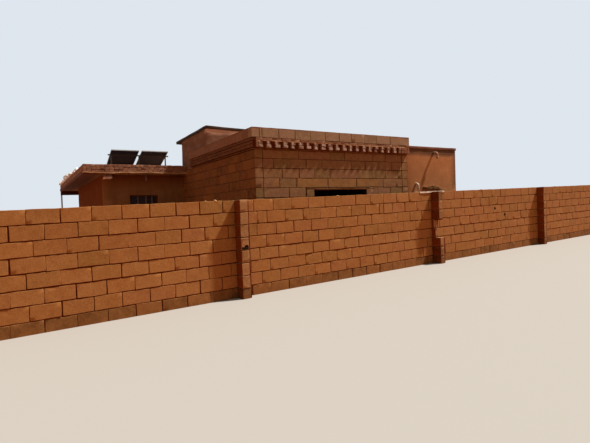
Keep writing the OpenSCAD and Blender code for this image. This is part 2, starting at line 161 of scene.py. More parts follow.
def makeGrain():  # earth and plaster: broad clouds, sandy grain, pits and a height for the bump
    tree, given, out = newGroup("earthGrain", {"Place": None, "Cloud Size": 1.2, "Grain Size": 45.0,
                                               "Pit Share": 0.3},
                                ("Cloud", "Grain", "Pits", "Height"))
    place, cloudSize, grainSize, pitShare = given[:4]
    cloud = clouds(tree, place, cloudSize, 5.0, Roughness=0.6, Distortion=0.4)
    grain = clouds(tree, place, grainSize, 6.0, Roughness=0.75)
    lumps = clouds(tree, place, maths(tree, "MULTIPLY", grainSize, grainShape["lumps"]), 3.0)
    holes = addNode(tree, "TexVoronoi", {"Vector": place, "Randomness": 1.0, "Scale": maths(
        tree, "MULTIPLY", grainSize, grainShape["holes"])}).outputs["Distance"]
    wanted = clouds(tree, place, maths(tree, "MULTIPLY", grainSize, grainShape["spots"]), 2.0)
    spots = maths(tree, "MULTIPLY", spread(tree, holes, *grainShape["holeWidth"]),
                  spread(tree, wanted, *grainShape["spotShare"]))
    pits = maths(tree, "MULTIPLY", spots, pitShare, clamp=True)
    height = maths(tree, "ADD", maths(tree, "MULTIPLY", grain, grainShape["grainHeight"]),
                   maths(tree, "MULTIPLY", lumps, grainShape["lumpHeight"]))
    plug(tree, out, {"Cloud": cloud, "Grain": grain, "Pits": pits,
                     "Height": maths(tree, "SUBTRACT", height, pits)})
    return tree


def makeSplash():  # soil splashed up from the sloping ground, and how far above it a place is
    tree, given, out = newGroup("groundSplash", {"Reach": 0.3}, ("Splash",))
    place = onObject(tree)
    turn = math.radians(street["turn"])
    slope = Vector((-street["rise"] * math.cos(turn), -street["rise"] * math.sin(turn), 1))
    above = addNode(tree, "VectorMath", {0: place, 1: slope}, operation="DOT_PRODUCT").outputs["Value"]
    # the ground is at nought where the street wall begins
    above = maths(tree, "ADD", above, street["rise"] * (street["low"] - 0.1))
    reach = maths(tree, "MULTIPLY", given[0], maths(tree, "ADD", clouds(tree, place, 4.0, 4.0), 0.5))
    plug(tree, out, {0: maths(tree, "SUBTRACT", 1.0, maths(tree, "DIVIDE", above, reach), clamp=True)})
    return tree


def makeDust():  # dust lying on what faces up
    tree, given, out = newGroup("topDust", {"Amount": 0.5}, ("Dust",))
    facing = addNode(tree, "SeparateXYZ", {0: addNode(tree, "NewGeometry").outputs["Normal"]}).outputs[2]
    patchy = clouds(tree, onObject(tree), 2.5, 5.0)
    lying = maths(tree, "MULTIPLY", spread(tree, facing, 0.35, 0.9), spread(tree, patchy, 0.2, 0.6))
    plug(tree, out, {0: maths(tree, "MULTIPLY", lying, given[0], clamp=True)})
    return tree


grainGroup, splashGroup, dustGroup = makeGrain(), makeSplash(), makeDust()
finishes = {}


def newFinish(name):
    finish = bpy.data.materials.new(name)
    finish.use_nodes = True
    finishes[name] = finish
    tree = finish.node_tree
    tree.nodes.clear()
    shader = addNode(tree, "BsdfPrincipled")
    addNode(tree, "OutputMaterial", {0: shader.outputs[0]})
    return tree, shader


def grainAt(tree, place, look):
    return useGroup(tree, grainGroup, {"Place": place, "Cloud Size": look["cloud"],
                                       "Grain Size": look["grain"], "Pit Share": look["pits"]})


def speckled(tree, base, grain, look):  # light and dark grains, and pits between them
    speck = blend(tree, spread(tree, grain["Grain"], 0.3, 0.7), look["darkSpeck"], look["lightSpeck"])
    base = blend(tree, look["speckle"], base, speck, "OVERLAY")
    return blend(tree, grain["Pits"], base, look.get("pitColour") or look["stainColour"])


def closeFinish(tree, shader, base, grain, look):  # splashed soil, dust, gloss, and the grain as a bump
    if "splash" in look:
        splash = useGroup(tree, splashGroup, {"Reach": look["splash"]})["Splash"]
        base = blend(tree, maths(tree, "MULTIPLY", splash, look["splashAmount"]), base, look["splashColour"])
    dust = useGroup(tree, dustGroup, {"Amount": look["dust"]})["Dust"]
    raised = addNode(tree, "Bump", {"Height": grain["Height"], "Distance": look["bump"], "Strength": 1.0})
    plug(tree, shader, {"Base Color": blend(tree, dust, base, look["dustColour"]),
                        "Roughness": look["roughness"], "Specular IOR Level": look["gloss"],
                        "Metallic": look["metal"], "Normal": raised.outputs[0]})


def blockFinish(name, look):  # blocks and bricks, each with its own shade and its pattern from another place
    tree, shader = newFinish(name)
    tone = painted(tree, "tone")
    shift = addNode(tree, "VectorMath", {0: (31.0, 17.0, 53.0), 3: maths(tree, "MULTIPLY", tone, 9.0)},
                    operation="SCALE").outputs[0]
    place = addNode(tree, "VectorMath", {0: onObject(tree), 1: shift}, operation="ADD").outputs[0]
    grain = grainAt(tree, place, look)
    count = len(look["shades"])
    base = ramp(tree, tone, [((k + 0.5) / count, shade) for k, shade in enumerate(look["shades"])])
    cloudy = blend(tree, spread(tree, grain["Cloud"], 0.35, 0.7), base, look["patch"])
    base = speckled(tree, blend(tree, look["patchy"], base, cloudy), grain, look)
    worn = spread(tree, grain["Cloud"], 0.35, 0.6, 0.1, look["rimWear"])
    worn = maths(tree, "MULTIPLY", painted(tree, "rim"), worn)
    closeFinish(tree, shader, blend(tree, worn, base, look["rimColour"]), grain, look)


def plainFinish(name, look):  # plaster, mortar, metal and the like: one body of colour with clouds and grain
    tree, shader = newFinish(name)
    place = straight = onObject(tree)
    if "stretch" in look:
        place = addNode(tree, "Mapping", {"Vector": place, "Scale": look["stretch"]}).outputs[0]
    grain = grainAt(tree, place, look)
    steps = len(look["shades"]) - 1
    base = ramp(tree, grain["Cloud"],
                [(0.3 + 0.4 * k / steps, shade) for k, shade in enumerate(look["shades"])])
    broad = clouds(tree, place, look["cloud"] * 0.35, 3.0)
    base = blend(tree, spread(tree, broad, 0.4, 0.7, 0.0, look["stain"]), base, look["stainColour"])
    if "streaks" in look:  # marks that rain has drawn downwards
        drawn = addNode(tree, "Mapping", {"Vector": straight, "Scale": (4.0, 4.0, 0.35)}).outputs[0]
        streaks = spread(tree, clouds(tree, drawn, 1.6, 5.0), 0.5, 0.72, 0.0, look["streaks"])
        base = blend(tree, streaks, base, look["stainColour"])
    if "patch" in look:  # a mask painted on the mesh: real patches, and painted shade where the real one lies in shade
        ragged = spread(tree, grain["Cloud"], 0.2, 0.5, 0.55, 1.0)
        base = blend(tree, maths(tree, "MULTIPLY", painted(tree, "patch"), ragged), base, look["patch"])
    closeFinish(tree, shader, speckled(tree, base, grain, look), grain, look)


def glassFinish(name, colour, film, roughness, coat):  # a deep colour under a clear gloss and a film of dust
    tree, shader = newFinish(name)
    dusty = clouds(tree, onObject(tree), 3.5, 5.0)
    plug(tree, shader, {
        "Base Color": blend(tree, spread(tree, dusty, 0.3, 0.8, 0.05, 0.2), colour, film),
        "Roughness": spread(tree, dusty, 0.3, 0.8, roughness, roughness + 0.1),
        "Specular IOR Level": 0.15, "Coat Weight": coat, "Coat Roughness": 0.25})


matt = {"roughness": 0.95, "gloss": 0.12, "metal": 0.0, "splashAmount": 0.7}
streetBlock = dict(
    matt, cloud=9.0, grain=70.0, pits=0.9, patchy=0.55, speckle=0.65, splash=0.2, splashAmount=0.45, dust=0.3,
    shades=((115, 75, 41), (172, 109, 64), (160, 105, 57), (168, 107, 58), (162, 101, 55), (175, 115, 67),
            (155, 102, 53), (169, 109, 59), (166, 104, 62), (173, 110, 60)),
    patch=(184, 125, 73), darkSpeck=(98, 104, 103), lightSpeck=(182, 195, 190), pitColour=(89, 47, 21),
    rimColour=(181, 118, 68), rimWear=0.45, splashColour=(125, 83, 43), dustColour=(197, 134, 85), bump=0.004)
houseBlock = dict(
    streetBlock, grain=64.0, patchy=0.9, speckle=0.6, rimWear=0.35, splashAmount=0.4,
    shades=((109, 62, 28), (133, 79, 35), (123, 71, 38), (139, 79, 41), (105, 63, 27), (129, 69, 40),
            (153, 90, 43), (111, 60, 27), (137, 76, 43), (103, 57, 30)),
    patch=(147, 90, 45), rimColour=(157, 98, 52))
brick = dict(
    streetBlock, grain=90.0, splash=0.05, dust=0.4, dustColour=(190, 134, 98), bump=0.002,
    shades=((175, 110, 79), (158, 96, 67), (181, 119, 91), (164, 103, 72), (150, 87, 60), (178, 114, 82)),
    patch=(197, 135, 98), rimColour=(196, 136, 102))
blockLooks = {
    "streetBlock": streetBlock,
    "pilasterBlock": dict(
        streetBlock, shades=((108, 73, 43), (164, 110, 73), (157, 108, 68), (166, 113, 73), (161, 107, 69)),
        patch=(180, 131, 88), rimColour=(195, 150, 106), rimWear=0.6, dust=0.1),
    # darker copy of the pilaster blocks for their left sides: painted shade
    "pilasterSideBlock": dict(
        streetBlock, shades=((88, 35, 6), (132, 57, 14), (121, 52, 11), (136, 59, 15), (125, 54, 13)),
        patch=(140, 64, 19), rimColour=(130, 62, 20), rimWear=0.2, dust=0.05),
    "houseBlock": houseBlock,
    "frontBlock": dict(
        houseBlock, patch=(168, 119, 78), rimColour=(177, 127, 88),
        shades=((133, 89, 54), (154, 103, 67), (146, 98, 61), (158, 98, 75), (137, 100, 55), (152, 98, 67),
                (158, 105, 70), (145, 94, 59), (156, 97, 74), (135, 96, 54))),
    "parapetBlock": dict(
        houseBlock, patch=(172, 131, 102), rimColour=(180, 142, 113),
        shades=((145, 108, 81), (159, 119, 93), (145, 110, 82), (162, 123, 97), (153, 113, 89),
                (156, 119, 87))),
    "parapetSideBlock": dict(
        houseBlock, shades=((143, 93, 68), (153, 103, 76), (137, 89, 66), (157, 105, 83), (147, 97, 74)),
        patch=(157, 107, 81), rimColour=(165, 116, 89)),
    "upperBrick": dict(
        brick, patch=(176, 119, 89), rimColour=(180, 123, 95), dust=0.2, dustColour=(169, 115, 85),
        shades=((151, 101, 76), (135, 88, 65), (156, 108, 87), (142, 95, 70), (129, 80, 58), (153, 104, 80))),
    # paler copy of the tooth bricks for the sides that face right: painted sunlight, with pale mortar
    "paleBrick": dict(
        brick, shades=((156, 114, 95), (167, 127, 110), (151, 105, 87), (173, 136, 120), (146, 98, 79)),
        patch=(178, 155, 141), rimColour=(178, 170, 154), rimWear=0.9),
    # darker copy for the teeth's other faces: painted shade
    "toothBrick": dict(
        brick, shades=((135, 80, 52), (152, 94, 66), (126, 73, 47), (159, 101, 73), (143, 85, 58)),
        patch=(177, 123, 94), rimColour=(181, 128, 101), rimWear=0.7),
    "bandBrick": dict(
        brick, patch=(181, 130, 104), rimColour=(191, 141, 112), rimWear=0.5,
        shades=((157, 99, 77), (131, 81, 62), (178, 118, 94), (152, 97, 79), (116, 70, 55), (168, 111, 82))),
    # darker copy of the bricks for the cornice's left face: painted shade
    "sideBrick": dict(
        brick, shades=((112, 64, 38), (124, 72, 44), (104, 58, 34), (130, 78, 48)),
        patch=(132, 82, 52), rimColour=(138, 86, 56), rimWear=0.4)}
for name, look in blockLooks.items():
    blockFinish(name, look)

mud = dict(
    matt, cloud=6.0, grain=60.0, pits=0.6, stain=0.5, speckle=0.4, dust=0.3, bump=0.005,
    darkSpeck=(0.25, 0.25, 0.25, 1), lightSpeck=(0.75, 0.75, 0.75, 1))
mortar = dict(mud, pits=0.8, dust=0.02, bump=0.004)
metal = dict(mud, cloud=5.0, grain=120.0, pits=0.2, speckle=0.2, bump=0.0008, roughness=0.6, gloss=0.4)
tube = dict(metal, cloud=8.0, pits=0.1, stain=0.6, speckle=0.15, dust=0.5, bump=0.0005)
rubble = dict(
    mud, cloud=9.0, grain=80.0, pits=0.5, stain=0.35, speckle=0.3, dust=0.2, bump=0.004,
    shades=((181, 166, 151), (210, 197, 184), (230, 221, 210)), stainColour=(157, 115, 85),
    dustColour=(216, 186, 157))
plainLooks = {
    "earthMortar": dict(
        mortar, shades=((77, 27, 3), (94, 34, 6), (111, 45, 10)), stainColour=(65, 23, 3),
        dustColour=(172, 88, 32)),
    "houseMortar": dict(
        mortar, shades=((65, 29, 12), (78, 38, 18), (93, 47, 24)), stainColour=(57, 24, 9),
        dustColour=(134, 78, 44)),
    # wingPlaster's patch colour: painted shadow under the coping, and a darker strip down the right end
    "wingPlaster": dict(
        mud, cloud=2.6, grain=48.0, shades=((164, 108, 67), (173, 115, 71), (184, 126, 82)), stain=0.4,
        stainColour=(149, 97, 60), speckle=0.3, splash=0.3, splashColour=(134, 88, 53), dust=0.4, streaks=0.4,
        patch=(98, 66, 46), dustColour=(199, 147, 100), bump=0.004),
    # mainPlaster's patch colour: painted shade on the left wall and in a band below the eave
    "mainPlaster": dict(
        mud, cloud=2.2, grain=44.0, shades=((123, 83, 49), (132, 91, 56), (140, 102, 68)), stain=0.4,
        stainColour=(109, 73, 47), speckle=0.3, splash=0.35, splashColour=(101, 73, 49), dust=0.4,
        streaks=0.5, gloss=0.03, patch=(110, 53, 13), dustColour=(156, 124, 94)),
    "rearPlaster": dict(
        mud, cloud=2.4, grain=40.0, pits=0.8, shades=((115, 77, 57), (130, 91, 71), (143, 105, 84)),
        stainColour=(100, 65, 46), speckle=0.6, dust=0.5, stretch=(1.0, 1.0, 3.2), patch=(210, 162, 136),
        dustColour=(158, 119, 95), bump=0.014),
    "mortarSmear": dict(
        mud, cloud=7.0, shades=((141, 97, 53), (153, 105, 60), (164, 116, 72)), stain=0.4,
        stainColour=(125, 84, 48), dustColour=(180, 136, 98)),
    "parapetCap": dict(
        mud, cloud=5.0, shades=((120, 76, 50), (134, 88, 62), (148, 100, 72)), stainColour=(104, 62, 40),
        dustColour=(170, 120, 88)),
    "wingCoping": dict(
        mud, cloud=4.0, grain=50.0, shades=((103, 69, 54), (116, 78, 61), (128, 88, 71)),
        stainColour=(90, 56, 44), dust=0.5, dustColour=(189, 143, 117)),
    "eaveMortar": dict(
        mud, shades=((173, 126, 89), (189, 145, 105), (206, 161, 121)), stainColour=(146, 101, 67), dust=0.4,
        dustColour=(214, 172, 132), bump=0.006),
    "beamConcrete": dict(
        mud, cloud=5.0, shades=((112, 75, 60), (124, 86, 70), (136, 100, 83)), stainColour=(92, 57, 42),
        patch=(214, 189, 183), dustColour=(170, 135, 116)),
    "roofScreed": dict(
        mud, cloud=2.0, grain=50.0, pits=0.8, shades=((120, 88, 64), (138, 104, 78), (152, 118, 92)),
        stain=0.6, stainColour=(104, 70, 48), speckle=0.35, dust=0.6, dustColour=(164, 120, 86), bump=0.004),
    # eaveSoffit's patch colour: painted shade, darkest at the soffit's outer left edge
    "eaveSoffit": dict(
        mud, cloud=2.6, grain=44.0, shades=((118, 79, 46), (133, 91, 56), (148, 106, 68)),
        stainColour=(101, 67, 40), speckle=0.35, patch=(94, 49, 26), dustColour=(178, 145, 103), bump=0.006),
    "roofFelt": dict(
        mud, cloud=3.0, pits=0.4, shades=((48, 34, 28), (60, 44, 36), (72, 54, 44)), stainColour=(84, 56, 38),
        speckle=0.3, dust=0.75, dustColour=(138, 102, 76), bump=0.004, roughness=0.85),
    "beatenEarth": dict(
        mud, cloud=1.4, grain=40.0, pits=0.5, shades=((140, 86, 54), (152, 96, 62), (162, 108, 72)),
        stain=0.3, stainColour=(124, 76, 48), speckle=0.35, dust=0.5, dustColour=(166, 116, 80), bump=0.006),
    # dark finish of painted shade: on the window jambs and inside the shallow holes
    "sootyReveal": dict(
        mud, grain=80.0, pits=0.3, shades=((26, 15, 11), (32, 19, 14), (38, 24, 18)), stain=0.4,
        stainColour=(20, 12, 9), speckle=0.3, dust=0.1, dustColour=(80, 50, 34), bump=0.003),
    "wallCapMortar": rubble,
    "paleRubble": dict(
        rubble, shades=((202, 199, 196), (226, 224, 222), (240, 239, 238)), stain=0.3,
        stainColour=(182, 156, 138), dustColour=(222, 206, 192)),
    "paintedSteel": dict(
        metal, shades=((46, 42, 40), (56, 50, 46), (66, 58, 52)), stainColour=(96, 58, 38),
        dustColour=(130, 98, 74), metal=0.3),
    "galvanisedPost": dict(
        metal, shades=((150, 146, 140), (166, 160, 152), (178, 172, 164)), stainColour=(140, 110, 86),
        dustColour=(170, 140, 112), roughness=0.5, gloss=0.5, metal=0.2),
    "rustyFrame": dict(
        metal, cloud=6.0, pits=0.3, shades=((62, 26, 15), (74, 32, 19), (86, 42, 26)), stain=0.4,
        stainColour=(96, 48, 28), speckle=0.3, dust=0.4, dustColour=(130, 84, 56), bump=0.0012,
        roughness=0.75, gloss=0.25),
    "windowBar": dict(
        metal, shades=((81, 62, 56), (92, 72, 65), (101, 80, 73)), stain=0.4, stainColour=(75, 46, 32),
        dustColour=(104, 72, 56), metal=0.2),
    "sunBleachedPipe": dict(
        tube, shades=((186, 160, 134), (198, 174, 150), (206, 186, 164)), stainColour=(166, 126, 96),
        dustColour=(184, 142, 108), roughness=0.5, gloss=0.45),
    "dustyPipe": dict(
        tube, shades=((150, 106, 74), (162, 116, 82), (172, 126, 92)), stainColour=(132, 86, 56),
        dustColour=(176, 126, 88), gloss=0.3),
    "greyPipe": dict(
        tube, shades=((90, 78, 68), (102, 90, 80), (114, 100, 90)), stain=0.5, stainColour=(118, 84, 60),
        dust=0.4, dustColour=(156, 116, 86), roughness=0.55),
    # dark panes behind the bars: painted shade standing for the dark rooms behind
    "paintedShadePane": dict(
        metal, cloud=4.0, pits=0.0, shades=((34, 14, 9), (40, 17, 11), (46, 20, 13)), stain=0.3,
        stainColour=(60, 34, 22), dust=0.2, dustColour=(90, 58, 40), bump=0.0003, roughness=0.4, gloss=0.15),
    "panelBack": dict(
        metal, cloud=4.0, pits=0.1, shades=((14, 13, 37), (19, 18, 44), (25, 22, 52)), stain=0.4,
        stainColour=(42, 31, 54), dustColour=(83, 73, 119), bump=0.0004, gloss=0.35),
    "panelFrame": dict(
        metal, grain=140.0, pits=0.1, shades=((120, 116, 112), (134, 130, 126), (146, 142, 138)), stain=0.4,
        stainColour=(124, 104, 86), speckle=0.15, dustColour=(158, 132, 108), bump=0.0003, roughness=0.42,
        gloss=0.5, metal=0.6)}
for name, look in plainLooks.items():
    plainFinish(name, look)
glassFinish("solarCell", (14, 20, 44), (112, 84, 62), 0.4, 0.05)
print("finishes made")


def moveBy(bm, matrix, verts=None):
    bmesh.ops.transform(bm, matrix=matrix, verts=bm.verts if verts is None else list(verts))


def finishPiece(name, bm, looks, slotName, *nodes, sharp=32, place=None):  # the mesh becomes a piece
    if place is not None:
        moveBy(bm, place)
    mesh = bpy.data.meshes.new(name)
    bm.to_mesh(mesh)
    bm.free()
    for look in looks.split():
        mesh.materials.append(finishes[look])
    mesh.shade_smooth()
    mesh.set_sharp_from_angle(angle=math.radians(sharp))
    piece = bpy.data.objects.new(name, mesh)
    bpy.context.scene.collection.objects.link(piece)
    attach(piece, "root")
    if nodes:
        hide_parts(*nodes)


def nodeMesh(name):  # a named solid as one merged mesh
    bm = bmesh.new()
    bm.from_mesh(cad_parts[name].data)
    bmesh.ops.remove_doubles(bm, verts=bm.verts, dist=0.0004)
    bmesh.ops.dissolve_limit(bm, angle_limit=math.radians(0.5), verts=bm.verts, edges=bm.edges)
    return bm


def facesOf(verts):
    return {face for vert in verts for face in vert.link_faces}


def giveLook(faces, index):  # which of the piece's finishes the faces have
    for face in faces:
        face.material_index = index


def addBox(bm, low, high, index=0):
    size = [b - a for a, b in zip(low, high)]
    middle = [(a + b) / 2 for a, b in zip(low, high)]
    place = Matrix.Translation(middle) @ Matrix.Diagonal((*size, 1))
    made = bmesh.ops.create_cube(bm, size=1, matrix=place)["verts"]
    giveLook(facesOf(made), index)
    return made


def shrink(bm, depth):  # moves every face of a square-cornered solid in by the same depth
    moves = []
    for vert in bm.verts:
        normals = []
        for face in vert.link_faces:
            if all(face.normal.dot(known) < 0.98 for known in normals):
                normals.append(face.normal.copy())
        moves.append((vert, sum(normals, Vector()) * -depth))
    for vert, move in moves:
        vert.co += move


def cutAt(bm, axis, *places):
    for place in places:
        cut, facing = Vector(), Vector()
        cut[axis], facing[axis] = place, 1
        bmesh.ops.bisect_plane(bm, geom=bm.verts[:] + bm.edges[:] + bm.faces[:], dist=0.00001, plane_co=cut,
                               plane_no=facing)


def cutFields(bm, step):  # cuts the faces into fields about a step wide
    spans = [(min(v.co[k] for v in bm.verts), max(v.co[k] for v in bm.verts)) for k in range(3)]
    for axis, (low, high) in enumerate(spans):
        count = max(1, round((high - low) / step))
        cutAt(bm, axis, *(low + (high - low) * k / count for k in range(1, count)))


def sharpEdges(bm, degrees=35):
    return [e for e in bm.edges if len(e.link_faces) == 2 and e.calc_face_angle(0) > math.radians(degrees)]


def soften(bm, geom, width, segments=1, affect="EDGES"):
    return bmesh.ops.bevel(bm, geom=geom, offset=width, offset_type="OFFSET", segments=segments, profile=0.5,
                           affect=affect, clamp_overlap=True, material=-1)["faces"]


def roughen(bm, size, depth, seed=0.0):  # moves each point a little, smoothly over size metres
    for vert in bm.verts:
        vert.co += noise.noise_vector(vert.co / size + Vector((seed, seed * 1.7, -seed))) * depth


def paintPatchAndShade(bm, share):  # a mask for the finish, from a function of the place: real patches and painted shade
    mask = bm.verts.layers.float.new("patch")
    for vert in bm.verts:
        vert[mask] = min(1.0, max(0.0, share(vert.co)))


def mudBody(bm, step=0.3, edge=0.018, depth=0.006, size=0.5, seed=0.0, segments=2):  # hand-laid mud or screed
    cutFields(bm, step)
    soften(bm, sharpEdges(bm), edge, segments)
    roughen(bm, size, depth, seed)
    roughen(bm, size * 0.2, depth * 0.4, seed + 5)
    return bm


blockDressing = {"alongCuts": 2, "upCuts": 1, "lean": 0.0028, "rough": 0.0012, "bevel": 0.0055,
                 "chipShare": 0.1, "chip": 0.009}
streetDressing = dict(blockDressing, alongCuts=4, upCuts=2, lean=0.0045, rough=0.0022, bevel=0.0085,
                      chipShare=0.2)
brickDressing = dict(blockDressing, alongCuts=1, upCuts=0, lean=0.003, rough=0.0016, bevel=0.005,
                     chipShare=0.2)
jointWidths = (0.001, 0.0025, 0.004, 0.0055, 0.007, 0.009)  # half of each upright joint
handLaid = {"drop": 0.002, "tilt": 0.002, "front": 0.0035, "back": 0.004, "wear": (0.4, 1.3),
            "wornEdge": 0.006, "deepWear": 0.5}  # how far blocks in a course differ


def layer(bm, name):  # a block's shade, the worn faces along its edges, and how worn they are
    return bm.faces.layers.float[name]


def layBlock(bm, low, high, tone, wear):
    made = addBox(bm, low, high)
    for face in facesOf(made):
        face[layer(bm, "tone")], face[layer(bm, "wear")] = tone, wear
    return made


def without(rect, openings, least=0.03):  # what is left of a block's front round the openings
    left = [rect]
    for start, sill, end, head in openings:
        rest = []
        for a, b, c, d in left:
            if c <= start or a >= end or d <= sill or b >= head:
                rest.append((a, b, c, d))
                continue
            inner = (max(a, start), min(c, end))
            rest += [row for row, room in (((a, b, start, d), start - a), ((end, b, c, d), c - end),
                                           ((inner[0], b, inner[1], sill), sill - b),
                                           ((inner[0], head, inner[1], d), d - head)) if room > least]
        left = rest
    return left


def jointPlaces(start, pitch, low, high, dice, shift=0.008, least=0.07):
    places, place = [], start + math.ceil((low - start) / pitch) * pitch
    while place < high:
        moved = place + dice.uniform(-shift, shift)
        if low + least < moved < high - least:
            places.append(moved)
        place += pitch
    return [low] + places + [high]


def courseJoints(wall, course, dice):
    low, high = wall["span"]
    if course in wall.get("joints", {}):
        return [low] + wall["joints"][course] + [high]
    start, pitch = wall["bond"][course % len(wall["bond"])]
    extra = wall.get("extra", {}).get(course, [])
    clear = extra + wall.get("skip", {}).get(course, [])
    places = [p for p in jointPlaces(start, pitch, low, high, dice)
              if p in (low, high) or all(abs(p - other) > 0.12 for other in clear)]
    return sorted(places + extra)


def layCourses(bm, wall, dice):
    low, high = wall["span"]
    front, back = wall["depth"]
    for course, (bottom, top) in enumerate(wall["courses"]):
        places = courseJoints(wall, course, dice)
        gaps = [dice.choice(jointWidths) for _ in places]
        tones = wall.get("tones", {}).get(course, (0.13, 1.0))
        worn = wall.get("wear", {}).get(course, 0.3)
        for k in range(len(places) - 1):
            left = places[k] + (gaps[k] if places[k] > low else 0)
            right = places[k + 1] - (gaps[k + 1] if places[k + 1] < high else 0)
            drop, tone = dice.uniform(-handLaid["drop"], handLaid["drop"]), dice.uniform(*tones)
            tilt = dice.uniform(-handLaid["tilt"], handLaid["tilt"])
            wear = worn * dice.uniform(*handLaid["wear"])
            for x0, z0, x1, z1 in without((left, bottom + drop, right, top + drop), wall.get("openings", ())):
                y0 = front + dice.uniform(0, handLaid["front"])
                y1 = back - dice.uniform(0, handLaid["back"])
                # a slight tilt, and a worn upper edge
                for vert in layBlock(bm, (x0, y0, z0), (x1, y1, z1), tone, wear):
                    if vert.co.z > (z0 + z1) / 2 and vert.co.y < (front + back) / 2:
                        vert.co.y += tilt + worn * handLaid["wornEdge"]
                        vert.co.z -= max(0.0, worn - handLaid["deepWear"]) * handLaid["wornEdge"]


def blockFaces(bm):
    tone = layer(bm, "tone")
    return [f for f in bm.faces if f[tone] > 0]


def showWear(bm, faces):
    for face in faces:
        face[layer(bm, "rim")] = face[layer(bm, "wear")]


def dressBlocks(bm, dressing, dice):  # fields on the faces, leaning sides, chips and worn edges
    for axis, cuts, least in ((0, dressing["alongCuts"], 0.15), (2, dressing["upCuts"], 0.09)):
        if cuts:
            edges = {e for f in blockFaces(bm) for e in f.edges}
            runs = {e: e.verts[1].co - e.verts[0].co for e in edges}
            long = [e for e in edges if abs(runs[e][axis]) > max(least, 0.9 * runs[e].length)]
            bmesh.ops.subdivide_edges(bm, edges=long, cuts=cuts, use_grid_fill=True)
    broken = [[], []]
    for vert in sorted({v for f in blockFaces(bm) for v in f.verts}, key=lambda v: v.index):
        value = vert.link_faces[0][layer(bm, "tone")] * 91
        lean = noise.noise_vector(vert.co * 3.1 + Vector((value, -value, value * 0.7))) * dressing["lean"]
        vert.co += lean + Vector([dice.uniform(-1, 1) * dressing["rough"] for _ in range(3)])
        if len([e for e in vert.link_edges if e.calc_face_angle(0) > 0.8]) == 3:
            if dice.random() < dressing["chipShare"]:
                broken[dice.choice((0, 0, 0, 1))].append(vert)
    for size, verts in enumerate(broken):  # corners that have broken off, small ones and larger ones
        if verts:
            showWear(bm, soften(bm, verts, dressing["chip"] * (size + 1), affect="VERTICES"))
    edges = [e for e in {e for f in blockFaces(bm) for e in f.edges} if e.calc_face_angle(0) > 0.6]
    showWear(bm, soften(bm, edges, dressing["bevel"]))


def startMasonry(core=None, recess=0.012):  # begins with the mortar: the solid drawn in a little
    bm = nodeMesh(core) if core else bmesh.new()
    if core:
        shrink(bm, recess)
        giveLook(bm.faces, 1)
    for name in ("tone", "rim", "wear"):
        bm.faces.layers.float.new(name)
    return bm


def moveBlocks(bm, matrix):
    moveBy(bm, matrix, {v for f in blockFaces(bm) for v in f.verts})


def gougeFace(bm, centre, radius, depth):  # a shallow broken hole in the front of a block, with painted shade inside
    centre = Vector(centre)
    for cuts in (3, 2):
        near = [f for f in blockFaces(bm) if f.normal.y < -0.5
                and (f.calc_center_bounds() - centre).length < radius * 2.2 + math.sqrt(f.calc_area())]
        bmesh.ops.subdivide_edges(bm, edges=list({e for f in near for e in f.edges}), cuts=cuts,
                                  use_grid_fill=True)
    sunk = set()
    for vert in {v for f in blockFaces(bm) if f.normal.y < -0.3 for v in f.verts}:
        away = vert.co - centre
        if math.hypot(away.x, away.z) < radius * (1 + 0.35 * noise.noise(vert.co * 40)) and away.y < 0.012:
            sunk.add(vert)
    for vert in sunk:
        vert.co.y += depth
    giveLook(facesOf(sunk), 3)


def masonryWall(name, node, wall, place, look, slotName, seed):
    dice = random.Random(seed)
    bm = startMasonry(node, wall.get("recess", 0.012))
    layCourses(bm, wall, dice)
    dressBlocks(bm, wall.get("dressing", blockDressing), dice)
    for gouge in wall.get("gouges", ()):
        gougeFace(bm, *gouge)
    moveBlocks(bm, place)
    if "ends" in wall:  # the ends that show in the front belong to the front's look
        giveLook([f for f in blockFaces(bm) if f.normal.y < -0.9], 2)
    looks = "%s %s %s sootyReveal" % (look, wall.get("mortar", "earthMortar"), wall.get("ends", look))
    finishPiece(name, bm, looks, slotName, node)


def coursesDown(top, height, pitch, bottom, least=0.05):
    rows = []
    while top > bottom + least:
        rows.append((max(bottom, top - height), top))
        top -= pitch
    return rows


pilasterLefts = (-6.084, -1.184, 3.891, 8.611, 13.511)
streetWall = {"depth": (0, wallThick), "recess": 0.015, "dressing": streetDressing,
              "wear": {3: 0.5, 4: 1.0, 5: 0.9, 6: 0.5}, "tones": {k: (0.01, 0.1) for k in range(7, 11)}}
streetBays = (  # first joint and pitch of each course, from the top one down, and what differs from that
    {"bond": ((-4.223, 0.4035), (-4.417, 0.4055), (-4.16, 0.4055), (-4.427, 0.404), (-4.25, 0.399),
              (-4.45, 0.3945), (-4.243, 0.3975), (-4.457, 0.3965))},
    {"bond": ((-0.419, 0.3957), (-0.554, 0.395), (-0.765, 0.3925), (-0.592, 0.393), (-0.727, 0.3885),
              (-0.512, 0.3845), (-0.704, 0.3885), (-0.512, 0.3845)),
     "extra": {0: [2.346], 1: [-0.754, 2.346], 2: [2.346]}},
    {"bond": ((4.754, 0.3915), (4.627, 0.394), (4.754, 0.4), (4.56, 0.3945), (4.72, 0.4), (4.588, 0.391),
              (4.76, 0.402), (4.6, 0.398)),
     "joints": {0: [4.36, 4.754, 5.138, 5.53, 5.915, 6.338, 6.735, 6.97, 7.32, 7.75, 8.146]},
     "extra": {1: [6.9]}, "gouges": (((6.46, 0, 1.144), 0.038, 0.011), ((6.91, 0, 0.956), 0.034, 0.011))},
    {"bond": ((9.54, 0.4), (9.32, 0.398), (9.53, 0.402), (9.33, 0.4), (9.55, 0.399), (9.34, 0.401),
              (9.52, 0.4), (9.35, 0.4))})


def streetCourses(start):  # down to the level of the lowest ground
    return coursesDown(street["height"], 0.198, 0.2125, -street["rise"] * (start - street["low"]))


